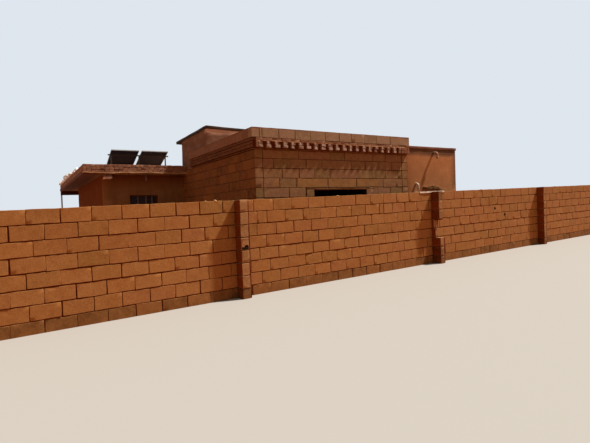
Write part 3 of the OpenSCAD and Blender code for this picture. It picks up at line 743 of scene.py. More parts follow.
for bay, joints in enumerate(streetBays):
    start, end = pilasterLefts[bay] + wallThick, pilasterLefts[bay + 1]
    wall = dict(streetWall, span=(start, end), courses=streetCourses(start), **joints)
    masonryWall("streetBay%d" % (bay + 1), "boundary_bay_%d" % (bay + 1), wall, streetFrame, "streetBlock",
                "street_wall", 11 + bay)

pilaster = {"out": -0.19, "restOut": -0.215, "footOut": -0.235, "foot": 5, "dark": 7, "back": 0.2,
            "right": (0.146, 0.143, 0.146, 0.143, 0.14, 0.138, 0.139, 0.138),
            "narrower": (0, 0, 0.018, 0.02, 0), "broken": {3: -0.06, 4: -0.105}, "recess": 0.024,
            "spread": 0.003, "outSpread": (-0.003, 0.005), "tone": (0.13, 1.0), "darkTone": 0.1,
            "joint": 0.003, "wear": 0.9, "hole": (0.098, 0.868), "holeSize": (0.034, 0.02),
            "dressing": dict(streetDressing, alongCuts=2, upCuts=3, bevel=0.009, chipShare=0.4)}
holedPilaster, brokenPilaster = 1, 2  # a hole in its front; broken off half way up
brokenInside = {"inset": 0.02, "width": 0.16, "gap": (0.585, 1.0), "fronts": (-0.21, -0.035, -0.165)}


def brokenCore(bm, left):  # the mortar inside the broken pilaster keeps clear of the break
    inset, start = brokenInside["inset"], left + brokenInside["inset"]
    ground = -street["rise"] * (left - street["low"]) + 0.01
    heights = (ground, *brokenInside["gap"], street["height"] - inset)
    for front, low, high in zip(brokenInside["fronts"], heights, heights[1:]):
        made = addBox(bm, (start, front, low), (start + brokenInside["width"], wallThick - inset, high), 1)
        moveBy(bm, streetFrame, made)


def buildPilaster(number):
    dice = random.Random(40 + number)
    node, left = "boundary_pilaster_%d" % (number + 1), pilasterLefts[number]
    bm = startMasonry(None if number == brokenPilaster else node, pilaster["recess"])
    if number == brokenPilaster:
        brokenCore(bm, left)
    for course, (bottom, top) in enumerate(streetCourses(left)):
        out = pilaster["out"]
        if number == brokenPilaster:
            out = pilaster["broken"].get(course, pilaster["restOut"])
            if course >= pilaster["foot"]:
                out = pilaster["footOut"]
        right = pilaster["right"][min(course, 7)] - pilaster["narrower"][number]
        shift, tone = dice.uniform(-pilaster["spread"], pilaster["spread"]), dice.uniform(*pilaster["tone"])
        if course >= pilaster["dark"]:
            tone *= pilaster["darkTone"]
        out += dice.uniform(*pilaster["outSpread"])
        layBlock(bm, (left + pilaster["joint"] + shift, out, bottom),
                 (left + right + shift * 2, pilaster["back"], top), tone, pilaster["wear"])
    dressBlocks(bm, pilaster["dressing"], dice)
    # the left sides take the darker copy of the block finish: painted shade
    giveLook([f for f in blockFaces(bm) if f.normal.x < -0.9], 2)
    if number == holedPilaster:
        along, up = pilaster["hole"]
        gougeFace(bm, (left + along, pilaster["out"], up), *pilaster["holeSize"])
    moveBlocks(bm, streetFrame)
    finishPiece("streetPilaster%d" % (number + 1), bm,
                "pilasterBlock earthMortar pilasterSideBlock sootyReveal", "street_wall", node)


for number in range(len(pilasterLefts)):
    buildPilaster(number)
print("street wall laid")

# openings and lintels in the block walls: left, bottom, right, top
frontWindow, frontLintel = (1.49, 1.0, 3.05, 2.006), (1.29, 2.006, 3.25, 2.059)
doorway, doorLintel = (1.76875, 0.3, 2.66875, 2.3), (1.56875, 2.3, 2.86875, 2.353)
room = {"right": 4.4375, "inner": 4.2375, "middle": 2.8, "depth": 5.0}
roomWall = {"courses": [(2.7, 2.876)] + coursesDown(2.6875, 0.2, 0.2125, 0), "mortar": "houseMortar"}
frontWall = dict(roomWall, span=(wallThick, room["inner"]), depth=(0, wallThick), recess=0.009,
                 bond=((0.68, 0.4285), (0.449, 0.4285), (0.667, 0.4285), (0.589, 0.4285), (0.833, 0.4285),
                       (0.45, 0.4285)), skip={4: [0.4045]}, openings=(frontWindow, frontLintel))
leftWall = dict(roomWall, span=(0, room["depth"]), depth=(0.01, wallThick),
                bond=((0.41, 0.4025), (0.21, 0.4025)), ends="frontBlock")
rightWall = dict(leftWall, depth=(0, 0.19))
crossWall = dict(frontWall, depth=(room["middle"], room["middle"] + wallThick),
                 bond=((0.41, 0.4025), (0.61, 0.4025)), skip={}, openings=(doorway, doorLintel))
rearWall = dict(crossWall, depth=(room["depth"] - wallThick, room["depth"]))


def alongY(x):  # a wall laid along x, turned to run back along y
    return houseFrame @ Matrix.Translation((x + wallThick, 0, 0)) @ quarter


for seed, (name, node, wall, place, look) in enumerate((
        ("frontWallBlocks", "front_wall", frontWall, houseFrame, "frontBlock"),
        ("leftWallBlocks", "left_side_wall", leftWall, alongY(0), "houseBlock"),
        ("rightWallBlocks", "right_side_wall", rightWall, alongY(room["inner"]), "houseBlock"),
        ("crossWallBlocks", "cross_wall", crossWall, houseFrame, "houseBlock"),
        ("rearWallBlocks", "rear_wall", rearWall, houseFrame, "houseBlock")), 60):
    masonryWall(name, node, wall, place, look, "house_block", seed)


def raggedSkim(name, boxes, look, slotName, step=0.06, depth=0.004, ragged=0.02, seed=0.0, axis=1):
    bm = bmesh.new()
    for low, high in boxes:
        addBox(bm, low, high)
    cutFields(bm, step)
    soften(bm, sharpEdges(bm), 0.003)
    for vert in bm.verts:  # ragged in the wall's plane, gently uneven across it
        move = noise.noise_vector(vert.co / 0.11 + Vector((seed, -seed, seed * 0.3))) * ragged
        move += noise.noise_vector(vert.co / 0.03 + Vector((seed, seed, seed))) * ragged * 0.3
        move[axis] *= depth / ragged
        vert.co += move
    finishPiece(name, bm, look, slotName, sharp=25, place=houseFrame)


raggedSkim("windowMudBand", (((1.05, 0.0005, 2.07), (1.86, 0.012, 2.258)),
                             ((1.9, -0.0005, 2.064), (2.72, 0.012, 2.262)),
                             ((2.76, 0.001, 2.074), (3.42, 0.012, 2.25))), "mortarSmear", "mud_plaster",
           depth=0.0012, seed=2)
raggedSkim("frontMudPatch", (((0.43, 0.001, 2.085), (0.57, 0.012, 2.245)),), "mortarSmear", "mud_plaster",
           depth=0.001, seed=3)
# dark skims on the window jambs: painted shade in the opening
raggedSkim("windowRevealShade", (((3.044, 0.02, 1.02), (3.052, 0.19, 2.0)),
                            ((1.488, 0.02, 1.02), (1.496, 0.19, 2.0))),
           "sootyReveal", "mud_plaster", depth=0.0008, ragged=0.004, seed=5, axis=0)
print("front room laid")

cornice = {"lower": (2.88, 2.915), "tooth": (2.915, 3.058), "upper": (3.058, 3.125),
           "parapet": (3.125, 3.325), "toothOut": 0.117, "upperOut": 0.099, "out": 0.1, "leftOut": 0.09,
           "firstTooth": 0.06, "pitch": 0.201, "left": 4.07, "brick": 0.23, "block": 0.4, "lowerOut": 0.012,
           "inside": 0.05, "turnSpread": 7, "placeSpread": 0.006, "sinkSpread": 0.008,
           "toothSize": (0.132, 0.11), "toothTurn": 18, "plainEnd": 4.1375,
           "joints": [0.09, 0.098, 0.142, 0.15, 0.56, 0.97, 1.37, 1.78, 2.18, 2.54, 2.95, 3.33, 3.78]}
# how far the mortar stands out in front and on the left, how far the bricks on the left do, and the seed
courses = {"lower": ((0.004, 0.022), 0.035, 70), "tooth": ((0.072, 0.055), 0.072, 71),
           "upper": ((0.068, 0.062), 0.08, 72), "parapet": ((0.084, 0.072), 0, 73)}
# the front mirrored onto the left face
leftLeg = Matrix(((0, 1, 0, 0), (1, 0, 0, 0), (0, 0, 1, 0), (0, 0, 0, 1)))


def brickRun(bm, dice, start, end, length, box, wave=0.004):  # bricks end to end in a depth and height
    front, back, bottom, top = box
    places = jointPlaces(start + length * dice.uniform(0.4, 0.9), length, start, end, dice, 0.006,
                         length * 0.3)
    for a, b in zip(places, places[1:]):
        sink, rise = dice.uniform(-wave, wave), dice.uniform(-wave, wave) * 0.5
        layBlock(bm, (a + 0.004, front + sink, bottom + rise), (b - 0.004, back, top + rise),
                 dice.uniform(0.03, 1), dice.uniform(0.2, 1.0))


def turnOnto(bm, known, matrix, index=None, mirrored=True):  # takes what was laid since to another face
    made = [f for f in bm.faces if f not in known]
    moveBy(bm, matrix, {v for f in made for v in f.verts})
    if mirrored:
        bmesh.ops.reverse_faces(bm, faces=made)
    if index:
        giveLook(made, index)


def startCourse(part, leftHeights=()):  # the mortar, and the bricks of the left face
    bm = startMasonry()
    low, high = cornice[part]
    (outFront, outLeft), bricksOut, seed = courses[part]
    recess, back, inside = 0.012, 2.79, 0.07
    right = room["right"] - recess
    for x0, y0, x1, y1 in ((-outLeft, -outFront, right, inside), (-outLeft, inside, inside, back),
                           (-outLeft, back, -recess, cornice["left"] - recess),
                           (right - 0.076, inside, right, back)):
        addBox(bm, (x0, y0, low), (x1, y1, high), 1)
    moveBy(bm, houseFrame)
    known = set(bm.faces)
    dice = random.Random(seed)
    for bottom, top in leftHeights:
        brickRun(bm, dice, -bricksOut, cornice["left"], cornice["brick"], (-bricksOut, 0.1, bottom, top))
    turnOnto(bm, known, leftLeg, 2)
    return bm, dice


def finishCourse(name, node, bm, dice, looks, slotName="fired_brick", dressing=brickDressing):
    dressBlocks(bm, dressing, dice)
    moveBlocks(bm, houseFrame)
    finishPiece(name, bm, looks, slotName, node)


def buildCorniceLower():  # on the front it has the wall's darker blocks: mudded over like the wall, and painted shade under the teeth
    low, high = cornice["lower"]
    bm, dice = startCourse("lower", ((low + 0.004, high - 0.009),))
    box = (-cornice["lowerOut"], cornice["inside"], low, high - 0.002)
    brickRun(bm, dice, 0.0, room["right"], cornice["block"], box, 0.003)
    finishCourse("corniceLowerCourse", "cornice_lower_course", bm, dice, "houseBlock houseMortar sideBrick")


def buildCorniceTeeth():
    low, high = cornice["tooth"]
    middle, out, end = (low + high) / 2, cornice["toothOut"], cornice["plainEnd"]
    length, width = cornice["toothSize"]
    inside, spread = cornice["inside"], cornice["placeSpread"]
    rows = ((low + 0.002, middle - 0.004), (middle + 0.004, high - 0.004))
    bm, dice = startCourse("tooth", ((low + 0.008, middle - 0.008), (middle + 0.008, high - 0.012)))
    for bottom, top in rows:
        brickRun(bm, dice, 0.0, cornice["firstTooth"] - 0.01, 0.2, (-out, inside, bottom, top))
    place = cornice["firstTooth"]
    while place < end - 0.05:
        shade = dice.uniform(0.03, 1)
        for bottom, top in rows:
            low = bottom + dice.uniform(-0.002, 0.002)
            made = layBlock(bm, (0, 0, low), (length, width, top), min(1.0, shade * dice.uniform(0.8, 1.2)),
                            1.0)
            stray = dice.uniform(-cornice["turnSpread"], cornice["turnSpread"])
            turn = Matrix.Rotation(math.radians(cornice["toothTurn"] + stray), 4, "Z")
            x, y = place + dice.uniform(-spread, spread), -out + dice.uniform(0, cornice["sinkSpread"])
            moveBy(bm, Matrix.Translation((x, y, 0)) @ turn, made)
        place += cornice["pitch"]
    for bottom, top in rows:
        brickRun(bm, dice, end, room["right"], 0.16, (-out * 0.9, inside, bottom, top), 0.01)
    # the sides that face right take the paler bricks: painted sunlight, with pale mortar still on them
    giveLook([f for f in blockFaces(bm) if 0.1 < f.normal.x < 0.8 and f.normal.y < -0.5], 3)
    finishCourse("corniceTeeth", "cornice_tooth_course", bm, dice,
                 "toothBrick earthMortar sideBrick paleBrick")


def buildCorniceUpper():
    low, high = cornice["upper"]
    bm, dice = startCourse("upper", ((low + 0.006, high - 0.014),))
    brickRun(bm, dice, 0.0, room["right"], cornice["brick"],
             (-cornice["upperOut"], 0.0, low + 0.003, high - 0.01), 0.006)
    finishCourse("corniceUpperCourse", "cornice_upper_course", bm, dice, "upperBrick earthMortar sideBrick")


def buildParapet():
    right, out, middle = room["right"], cornice["leftOut"], room["middle"]
    bm, dice = startCourse("parapet")
    known = set(bm.faces)
    wall = {"span": (0.08, middle), "depth": (-out, 0.08), "courses": (cornice["parapet"],),
            "bond": ((0.36, 0.4025),)}
    layCourses(bm, wall, dice)
    layCourses(bm, dict(wall, span=(middle, cornice["left"]), depth=(-out, 0.0)), dice)
    turnOnto(bm, known, leftLeg, 2)
    known = set(bm.faces)
    layCourses(bm, dict(wall, span=(0.08, middle), depth=(-right, 0.1 - right)), dice)
    turnOnto(bm, known, quarter, 2, False)
    layCourses(bm, dict(wall, span=(-out, right), depth=(-cornice["out"], 0.08),
                        joints={0: cornice["joints"]}), dice)
    finishCourse("parapetBlocks", "parapet_course", bm, dice, "parapetBlock earthMortar parapetSideBlock",
                 "house_block", blockDressing)


buildCorniceLower()
buildCorniceTeeth()
buildCorniceUpper()
buildParapet()
out, leftOut, capTop = cornice["out"], cornice["leftOut"], cornice["parapet"][1] + 0.008
raggedSkim("parapetMudCap", [((x0, y0, capTop - 0.02), (x1, y1, capTop)) for x0, y0, x1, y1 in (
    (-leftOut, 0.004 - out, room["right"], 0.08), (-leftOut, 0.08, 0.08, room["middle"]),
    (-leftOut, room["middle"], 0, cornice["left"]),
    (room["right"] - 0.1, 0.08, room["right"], room["middle"]))],
           "parapetCap", "house_block", step=0.12, ragged=0.005, seed=4, axis=2)
raggedSkim("corniceMortarLine", (((0.02, 0.002 - out, 3.053), (room["right"] - 0.02, -0.06, 3.066)),),
           "eaveMortar", "fired_brick", step=0.05, depth=0.008, ragged=0.009, seed=6)
print("cornice laid")


def wallRing(plan, height):  # the walls' plan, drawn up to their height
    bm = bmesh.new()
    floor = bm.faces.new([bm.verts.new((x, y, 0)) for x, y in plan])
    raised = bmesh.ops.extrude_face_region(bm, geom=[floor])["geom"]
    bmesh.ops.translate(bm, vec=(0, 0, height),
                        verts=[v for v in raised if isinstance(v, bmesh.types.BMVert)])
    bmesh.ops.recalc_face_normals(bm, faces=bm.faces)
    return bm


def pierceWalls(bm, openings):  # each: axis of its wall, the wall's two faces, start, end, sill, head
    for axis, across, start, end, sill, head in openings:
        cutAt(bm, axis, start, end)
        cutAt(bm, 2, sill, head)
    for axis, across, start, end, sill, head in openings:
        gone = []
        for face in bm.faces:
            middle, other = face.calc_center_median(), 1 - axis
            if (abs(face.normal[other]) > 0.9 and across[0] - 0.01 < middle[other] < across[1] + 0.01
                    and start < middle[axis] < end and sill < middle[2] < head):
                gone.append(face)
        bmesh.ops.delete(bm, geom=gone, context="FACES")
        bmesh.ops.bridge_loops(bm, edges=[e for e in bm.edges if e.is_boundary])
    bmesh.ops.recalc_face_normals(bm, faces=bm.faces)


wing = {"left": 4.4375, "right": 6.3275, "depth": 5.0, "height": 3.07, "door": (2.15, 3.05),
        "shadeCuts": (2.86, 2.95)}
mainHouse = {"left": -2.29, "right": 4.4375, "front": 5.0, "back": 11.7, "height": 2.74, "start": 0.2}
window = {"sill": 1.156, "head": 2.156, "width": 0.81, "front": -1.58, "side": 7.845}
doorWide, doorHeights = 0.9, (0.3, 2.3)


def wingPaintedShade(co):  # darker down the right end of the front, and painted shadow of the coping in a band under it
    strip = 0.9 * (co.x - wing["right"] + 0.07) / 0.02 * (co.z > 2.15) * (co.y < 0.1)
    return max(strip, (co.z - 2.9 + 0.02 * noise.noise(co * 4)) / 0.05)


def buildWingWalls():
    left, right, depth, t = wing["left"], wing["right"], wing["depth"], wallThick
    bm = wallRing(((left, 0), (right, 0), (right, depth), (left, depth), (left, depth - t),
                   (right - t, depth - t), (right - t, t), (left, t)), wing["height"])
    pierceWalls(bm, ((1, (right - t, right), *wing["door"], *doorHeights),))
    cutAt(bm, 2, *wing["shadeCuts"])
    mudBody(bm, step=0.22, edge=0.016, size=0.6, seed=4)
    paintPatchAndShade(bm, wingPaintedShade)
    finishPiece("wingPlaster", bm, "wingPlaster", "mud_plaster", "wing_front_wall", "wing_side_wall",
                "wing_back_wall", sharp=60, place=houseFrame)


def backPlaces():  # the left ends of the two windows and of the door in the main house's back wall
    left, width = mainHouse["left"], mainHouse["right"] - mainHouse["left"]
    return [left + width / 6 - window["width"] / 2, left + 5 * (width / 6) - window["width"] / 2,
            left + width / 2 - doorWide / 2]


def mainPaintedShade(co):  # painted shade: the whole left wall, and a band that fades out below the eave
    if co.x < mainHouse["left"] + 0.05 and co.y > mainHouse["front"] + 0.02:
        return 1.0
    return 0.6 * (co.z - 2.35) / 0.3


def buildMainWalls():
    left, right, front, back, start = (mainHouse[k] for k in ("left", "right", "front", "back", "start"))
    t, heights = wallThick, (window["sill"], window["head"])
    bm = wallRing(((start, front), (start, front + t), (left + t, front + t), (left + t, back - t),
                   (right - t, back - t), (right - t, front), (right, front), (right, back), (left, back),
                   (left, front)), mainHouse["height"])
    first, second, door = backPlaces()
    holes = [(axis, across, place, place + window["width"], *heights) for axis, across, place in (
        (0, (front, front + t), window["front"]), (1, (right - t, right), window["side"]),
        (0, (back - t, back), first), (0, (back - t, back), second))]
    pierceWalls(bm, holes + [(0, (back - t, back), door, door + doorWide, *doorHeights)])
    mudBody(bm, step=0.25, depth=0.008, size=0.7, seed=10)
    paintPatchAndShade(bm, mainPaintedShade)
    finishPiece("mainPlaster", bm, "mainPlaster", "mud_plaster", "main_front_wall", "main_left_wall",
                "main_right_wall", "main_back_wall", sharp=60, place=houseFrame)


rearBand = {"cuts": (3.68, 3.74), "start": 3.66, "fade": 0.05, "front": 2.75}


def rearShade(co):  # a pale band under the roof slab, on the front
    if co.y < rearBand["front"]:
        return (co.z - rearBand["start"] + 0.02 * noise.noise(co * 3)) / rearBand["fade"]
    return 0.0


def buildRearRoom():
    bm = nodeMesh("rear_upper_walls")
    cutAt(bm, 2, *rearBand["cuts"])
    mudBody(bm, step=0.2, edge=0.025, depth=0.012, seed=1)
    paintPatchAndShade(bm, rearShade)
    finishPiece("rearRoomPlaster", bm, "rearPlaster", "dark_plaster", "rear_upper_walls", sharp=60)


buildWingWalls()
buildMainWalls()
buildRearRoom()
slabs = {  # piece, node, finish, slot, and how the slab was laid
    "rearRoofSlab": ("rear_roof_slab", "roofFelt", "concrete",
                     {"step": 0.25, "depth": 0.008, "size": 0.4, "seed": 2}),
    "frontRoofSlab": ("front_roof_slab", "roofScreed", "concrete", {"step": 0.4, "seed": 3}),
    "wingRoofSlab": ("wing_roof_slab", "roofScreed", "concrete", {"step": 0.4, "seed": 7}),
    "wingCoping": ("wing_coping", "wingCoping", "mud_plaster",
                   {"step": 0.2, "depth": 0.005, "size": 0.3, "seed": 8}),
    # the concrete porch beam takes the dark house mortar: its own dark colour, darkened further as painted
    # shade
    "porchBeam": ("porch_beam", "houseMortar", "concrete", {"depth": 0.005, "size": 0.4, "seed": 16})}
for name, (node, look, slotName, shape) in slabs.items():
    finishPiece(name, mudBody(nodeMesh(node), edge=0.01, **shape), look, slotName, node, sharp=60)


def buildMudLedge():  # broken mud along the foot of the wing's front, lower than its outline
    bm = nodeMesh("mud_ledge")
    base = min(v.co.z for v in bm.verts)
    moveBy(bm, Matrix.Translation((0, 0, base - 0.03)) @ Matrix.Diagonal((1, 1, 0.8, 1))
           @ Matrix.Translation((0, 0, -base)))
    mudBody(bm, step=0.045, edge=0.006, depth=0.016, size=0.08, seed=9)
    finishPiece("wingMudLedge", bm, "mainPlaster", "mud_plaster", "mud_ledge", sharp=60)


def buildMainSlab():
    bm = mudBody(nodeMesh("main_roof_slab"), edge=0.012, depth=0.008, seed=14)
    # painted shade on the soffit, darkest at its outer left edge
    paintPatchAndShade(bm, lambda co: (-2.35 - co.x) / 0.25)
    giveLook([f for f in bm.faces if f.normal.z < 0.5], 1)
    finishPiece("mainRoofSlab", bm, "roofScreed eaveSoffit", "concrete", "main_roof_slab", sharp=60)


def buildLintels():  # those in the block walls; the others are behind plaster and mud
    bm = bmesh.new()
    for (front, back), (left, bottom, right, top) in (
            (crossWall["depth"], doorLintel), (rearWall["depth"], doorLintel),
            ((0.006, wallThick), frontLintel)):
        addBox(bm, (left, front, bottom), (right, back, top))
    mudBody(bm, step=0.25, edge=0.005, depth=0.003, size=0.3, seed=17, segments=1)
    finishPiece("lintelSlabs", bm, "eaveSoffit", "concrete", "lintels", sharp=60, place=houseFrame)


buildMudLedge()
buildMainSlab()
buildLintels()
print("plaster and slabs shaped")

bandRows = {"front": ((2.79, 2.856), (2.864, 2.93), (2.938, 3.003)), "side": ((2.84, 2.914), (2.924, 3.0))}
eave = {"left": -2.828, "front": 4.632, "back": 13.328, "inner": 4.742, "right": 4.9755,
        "thick": 0.11}


def buildBand(name, node, runs, seed):  # each run: rows, length, brick, outer face, corner and turn
    dice = random.Random(seed)
    bm = startMasonry(node, 0.01)
    for rows, length, brickLong, out, corner, turn in runs:
        known = set(bm.faces)
        for bottom, top in bandRows[rows]:
            brickRun(bm, dice, 0, length, brickLong + dice.uniform(-0.004, 0.004),
                     (out, eave["thick"], bottom, top), 0.006)
        turnOnto(bm, known, Matrix.Translation((*corner, 0)) @ turn, None, False)
    finishCourse(name, node, bm, dice, "bandBrick earthMortar")


level = Matrix.Identity(4)
buildBand("eaveBandEnds", "eave_band_ends", (
    ("front", 2.828, 0.118, -0.016, (eave["left"], eave["front"]), level),
    ("side", 7.8035, 0.23, 0, (eave["left"], eave["back"]), level)), 80)
buildBand("eaveBandSides", "eave_band_sides", (
    ("side", 8.586, 0.23, 0, (eave["left"] + eave["thick"], eave["inner"]), quarter),
    ("side", 8.328, 0.23, 0, (eave["right"], mainHouse["front"]), quarter)), 81)
raggedSkim("eaveMortarLip", (((-2.84, 4.606, 2.766), (0.0, 4.66, 2.79)),), "eaveMortar", "mud_plaster",
           step=0.05, depth=0.012, seed=11)


def buildBeamEnd():  # a stub of concrete, paler along its lower edge
    bm = nodeMesh("eave_beam_end")
    heights = [v.co.z for v in bm.verts]
    low = min(heights) * 0.7 + max(heights) * 0.3  # as tall as in the photo
    for vert in bm.verts:
        vert.co.z = max(low, vert.co.z)
    mudBody(bm, step=0.05, edge=0.01, size=0.2, seed=15)
    paintPatchAndShade(bm, lambda co: (low + 0.05 - co.z) / 0.02)
    finishPiece("eaveBeamEnd", bm, "beamConcrete", "concrete", "eave_beam_end", sharp=60)


strap = {"strip": ((-1.2, 4.638, 2.57), (-1.18, 4.642, 2.752)),
         "foot": ((-1.205, 4.634, 2.562), (-1.175, 4.646, 2.572))}


def buildStrap():  # it hangs from the front eave
    bm = bmesh.new()
    addBox(bm, *strap["strip"])
    addBox(bm, *strap["foot"])
    soften(bm, sharpEdges(bm), 0.001)
    finishPiece("eaveStrap", bm, "windowBar", "dark_steel", place=houseFrame)


def addChunk(bm, at, size, dice):  # a rough piece of rubble or mortar, flat below
    made = bmesh.ops.create_icosphere(bm, subdivisions=2, radius=0.5)["verts"]
    seed = Vector((dice.random(), dice.random(), dice.random())) * 50
    turn = Matrix.Rotation(dice.uniform(0, 3.1), 4, "Z")
    for vert in made:
        vert.co *= 1 + 0.5 * noise.noise(vert.co * 2.2 + seed) + dice.uniform(-0.09, 0.09)
        vert.co.z = max(-0.25, vert.co.z)
    moveBy(bm, Matrix.Translation(at) @ turn @ Matrix.Diagonal((*size, 1)), made)


eaveLine = {"x": -2.765, "stray": 0.02, "start": 6.9, "end": 13.3, "top": 2.995, "step": (0.2, 0.55),
            "sizes": ((0.12, 0.17), (0.2, 0.42), (0.12, 0.26))}


def buildEaveRubble():  # pale broken pieces along the left eave
    dice, bm, y = random.Random(90), bmesh.new(), eaveLine["start"]
    while y < eaveLine["end"]:
        size = [dice.uniform(*limits) for limits in eaveLine["sizes"]]
        x = eaveLine["x"] + dice.uniform(-eaveLine["stray"], eaveLine["stray"])
        addChunk(bm, (x, y, eaveLine["top"] + size[2] * 0.2), size, dice)
        y += dice.uniform(*eaveLine["step"])
    finishPiece("eaveRubble", bm, "paleRubble", "concrete", sharp=18, place=houseFrame)


streetLumps = {-1.52: (0.055, 0.05, 0.04), -1.69: (0.04, 0.04, 0.022), 1.1: (0.07, 0.06, 0.014),
               5.9: (0.08, 0.06, 0.016), 9.7: (0.08, 0.08, 0.018)}  # place along the wall, and size


def buildStreetLumps():  # mortar left on top of the street wall
    dice, bm = random.Random(91), bmesh.new()
    for x, size in streetLumps.items():
        addChunk(bm, (x, 0.03, street["height"] + size[2] * 0.12), size, dice)
    finishPiece("streetWallLumps", bm, "eaveMortar", "street_wall", sharp=50, place=streetFrame)


streetCap = {"start": 3.5, "end": 4.36, "out": 0.014, "down": 0.02, "up": 0.016}


def buildStreetCap():  # a pale line of mortar on the wall beside the third pilaster
    bm, top = bmesh.new(), street["height"]
    addBox(bm, (streetCap["start"], -streetCap["out"], top - streetCap["down"]),
           (streetCap["end"], wallThick, top + streetCap["up"]))
    cutFields(bm, 0.06)
    roughen(bm, 0.1, 0.006, 3)
    finishPiece("streetWallCap", bm, "wallCapMortar", "street_wall", sharp=50, place=streetFrame)


buildBeamEnd()
buildStrap()
buildEaveRubble()
buildStreetLumps()
buildStreetCap()
print("eave band laid")

barred = {"bar": 0.036, "thick": 0.008, "out": -0.012, "frame": 0.04, "places": (0.28, 0.57, 0.78),
          "pane": 0.006, "paneAt": 0.026, "cross": (0.33, 0.67), "crossHalf": 0.012,
          "crossDepth": (-0.004, 0.002), "end": 0.01}


def framedWindow(bars, shadePanes, width, height, place):  # one window in its own upright plane, x along the wall
    t, half, out, end = barred["frame"], barred["bar"] / 2, barred["out"], barred["end"]
    near, far = barred["crossDepth"]
    made = []
    for x0, z0, x1, z1 in ((0, 0, width, t), (0, height - t, width, height), (0, t, t, height - t),
                           (width - t, t, width, height - t)):
        made += addBox(bars, (x0, 0, z0), (x1, t, z1), 1)
    for x in (share * width for share in barred["places"]):
        made += addBox(bars, (x - half, out, end), (x + half, out + barred["thick"], height - end))
    for z in (share * height for share in barred["cross"]):
        made += addBox(bars, (end, near, z - barred["crossHalf"]),
                       (width - end, far, z + barred["crossHalf"]))
    moveBy(bars, place, made)
    # a dark pane behind the bars, painted shade for the room behind
    edge, front = t * 0.6, barred["paneAt"]
    moveBy(shadePanes, place,
           addBox(shadePanes, (edge, front, edge), (width - edge, front + barred["pane"], height - edge)))


def buildWindows():
    bars, shadePanes = bmesh.new(), bmesh.new()
    right, front, back, inset = mainHouse["right"], mainHouse["front"], mainHouse["back"], 0.08
    half = Matrix.Rotation(math.pi, 4, "Z")
    width, sill = window["width"], window["sill"]
    places = [((window["front"], front + inset), level), ((right - inset, window["side"]), quarter)]
    places += [((start + width, back - inset), half) for start in backPlaces()[:2]]
    for at, turn in places:
        framedWindow(bars, shadePanes, width, window["head"] - sill,
                     houseFrame @ Matrix.Translation((*at, sill)) @ turn)
    soften(bars, sharpEdges(bars), 0.002)
    finishPiece("windowBars", bars, "windowBar rustyFrame", "dark_steel", "window_frames")
    finishPiece("windowShadePanes", shadePanes, "paintedShadePane", "dark_steel")


buildWindows()
print("windows set")

panel = {"width": 0.99, "length": 1.65, "thick": 0.035, "gap": 0.1, "at": (-1.39, 9.0, 4.031), "tilt": 19,
         "cells": (6, 10), "cell": 0.156, "spacing": 0.159, "lip": 0.011, "backLip": 0.028, "glassAt": -0.003,
         "backAt": 0.027, "cellAt": (-0.0036, -0.0022), "cellCorner": 0.012, "lines": (0.25, 0.5, 0.75),
         "lineHalf": 0.0009, "lineAt": (-0.0024, -0.0019),
         "box": ((-0.06, 0.12, -0.03), (0.06, 0.21, -0.007))}


def panelFace(bm, up):
    return max((f for f in bm.faces if f.normal.z * up > 0.9), key=lambda f: f.calc_area())


def buildPanel(name, node, index):
    width, length, cell, spacing = (panel[k] for k in ("width", "length", "cell", "spacing"))
    bm = bmesh.new()
    addBox(bm, (0, 0, -panel["thick"]), (width, length, 0))
    for up, inset, sink in ((1, panel["lip"], panel["glassAt"]), (-1, panel["backLip"], panel["backAt"])):
        bmesh.ops.inset_region(bm, faces=[panelFace(bm, up)], thickness=inset, depth=0)
        inner = panelFace(bm, up)
        lifted = bmesh.ops.extrude_face_region(bm, geom=[inner])["geom"]
        moved = [v for v in lifted if isinstance(v, bmesh.types.BMVert)]
        bmesh.ops.translate(bm, vec=(0, 0, sink), verts=moved)
        bmesh.ops.delete(bm, geom=[inner], context="FACES_ONLY")
    giveLook([f for f in bm.faces if abs(f.normal.z) > 0.9 and f.calc_area() > 1], 1)
    soften(bm, [e for e in sharpEdges(bm) if e.calc_length() > 0.5], 0.0012)
    across, down = panel["cells"]
    left, low = (width - (across - 1) * spacing - cell) / 2, (length - (down - 1) * spacing - cell) / 2
    (under, over), (lineUnder, lineOver) = panel["cellAt"], panel["lineAt"]
    for x in (left + column * spacing for column in range(across)):
        for y in (low + row * spacing for row in range(down)):
            made = addBox(bm, (x, y, under), (x + cell, y + cell, over), 2)
            edges = {e for v in made for e in v.link_edges}
            soften(bm, [e for e in edges if abs(e.verts[0].co.z - e.verts[1].co.z) > 0.001],
                   panel["cellCorner"])
        for middle in (x + cell * share for share in panel["lines"]):  # the thin conductors down the cells
            addBox(bm, (middle - panel["lineHalf"], low + 0.004, lineUnder),
                   (middle + panel["lineHalf"], length - low - 0.004, lineOver))
    made = addBox(bm, *panel["box"], 1)  # junction box on the back
    moveBy(bm, Matrix.Translation((width / 2, 0, 0)), made)
    tilt = Matrix.Rotation(math.radians(-panel["tilt"]), 4, "X")
    shift = Matrix.Translation((index * (width + panel["gap"]), 0, 0))
    finishPiece(name, bm, "panelFrame panelBack solarCell", "solar_glass", node,
                place=houseFrame @ Matrix.Translation(panel["at"]) @ tilt @ shift)


buildPanel("solarPanelLeft", "solar_panel_left", 0)
buildPanel("solarPanelRight", "solar_panel_right", 1)
print("solar panels built")

pipe = {"outer": 0.0315, "collar": 0.0365, "long": 0.03, "spout": 0.993, "spoutHigh": 2.976, "waste": 0.305,
        "wasteHigh": 2.14, "drop": 0.094, "spoutOut": (0.062, 0.142), "wasteOut": 0.077}


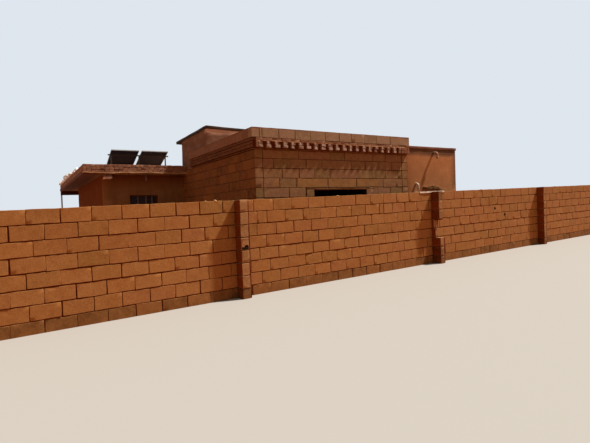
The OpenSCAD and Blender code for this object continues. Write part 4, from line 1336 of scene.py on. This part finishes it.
def addCollar(bm, at, axis):  # the socket round the end of a fitting
    known = set(bm.verts)
    inner, outer, long = pipe["outer"] - 0.002, pipe["collar"], pipe["long"]
    verts = [bm.verts.new((r, 0, z)) for r, z in ((inner, 0), (outer, 0), (outer, long), (inner, long))]
    edges = [bm.edges.new(pair) for pair in zip(verts, verts[1:] + verts[:1])]
    bmesh.ops.spin(bm, geom=verts + edges, cent=(0, 0, 0), axis=(0, 0, 1), angle=2 * math.pi, steps=32,
                   use_merge=True)
    turn = Vector((0, 0, 1)).rotation_difference(Vector(axis)).to_matrix().to_4x4()
    moveBy(bm, houseFrame @ Matrix.Translation(at) @ turn, [v for v in bm.verts if v not in known])


def buildCollars():
    bm = bmesh.new()
    spout, waste, drop = wing["left"] + pipe["spout"], wing["left"] + pipe["waste"], pipe["drop"]
    near, far = pipe["spoutOut"]
    addCollar(bm, (spout, -near, pipe["spoutHigh"]), (0, -1, 0))
    addCollar(bm, (spout, -far, pipe["spoutHigh"] - drop), (0, 0, -1))
    addCollar(bm, (waste, -pipe["wasteOut"], pipe["wasteHigh"] - drop), (0, 0, -1))
    bmesh.ops.recalc_face_normals(bm, faces=bm.faces)
    finishPiece("pipeCollars", bm, "sunBleachedPipe", "white_pipe")


buildCollars()
keptLooks = {"earth_floors": "beatenEarth", "porch_posts": "galvanisedPost", "roof_spout": "greyPipe",
             "roof_spout_elbow": "dustyPipe", "lower_pipe_elbow": "sunBleachedPipe",
             "solar_rack": "paintedSteel"}
for node, look in keptLooks.items():
    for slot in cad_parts[node].material_slots:
        slot.material = finishes[look]
print("pipes and posts finished")

stageLook = {"floor": (172, 167, 160), "bounce": (186, 124, 84), "sky": (0.80, 0.86, 0.93), "seen": 0.92,
             "fill": (1.0, 0.92, 0.82), "skyLight": 0.3, "sun": 5.5, "sunSoft": 3.6,
             "sunFrom": (0.52, -0.175, 0.836), "sunColour": (1.0, 0.96, 0.9), "floorSize": 400}


def asSeen(tree, hidden, shown):  # one colour for what is looked at, and another for the light it gives
    path = addNode(tree, "LightPath").outputs
    seen = maths(tree, "MAXIMUM", path["Is Camera Ray"], path["Is Glossy Ray"])
    return blend(tree, maths(tree, "MAXIMUM", seen, path["Is Transmission Ray"]), hidden, shown)


def buildFloor():
    bm = bmesh.new()
    bmesh.ops.create_grid(bm, x_segments=4, y_segments=4, size=stageLook["floorSize"])
    moveBy(bm, streetFrame)
    mesh = bpy.data.meshes.new("floor")
    bm.to_mesh(mesh)
    bm.free()
    tree, shader = newFinish("paleFloor")
    plug(tree, shader, {"Base Color": asSeen(tree, stageLook["bounce"], stageLook["floor"]), "Roughness": 0.9,
                        "Specular IOR Level": 0.1})
    mesh.materials.append(finishes["paleFloor"])
    floor = bpy.data.objects.new("floor", mesh)
    bpy.context.scene.collection.objects.link(floor)


def buildSky():
    world = bpy.data.worlds.new("paleSky")
    world.use_nodes = True
    tree = world.node_tree
    tree.nodes.clear()
    fill, sky = ((*(stageLook[level] * part for part in stageLook[colour]), 1)
                 for level, colour in (("skyLight", "fill"), ("seen", "sky")))
    light = addNode(tree, "Background", {"Color": asSeen(tree, fill, sky), "Strength": 1.0})
    addNode(tree, "OutputWorld", {0: light.outputs[0]})
    bpy.context.scene.world = world


def buildSun():
    data = bpy.data.lights.new("softSun", "SUN")
    data.energy = stageLook["sun"]
    data.angle = math.radians(stageLook["sunSoft"])
    data.color = stageLook["sunColour"]
    sun = bpy.data.objects.new("softSun", data)
    sun.rotation_mode = "QUATERNION"
    sun.rotation_quaternion = Vector(stageLook["sunFrom"]).to_track_quat("Z", "Y")
    bpy.context.scene.collection.objects.link(sun)


buildFloor()
buildSky()
buildSun()
bpy.context.scene.view_settings.view_transform = "Standard"
print("stage set")
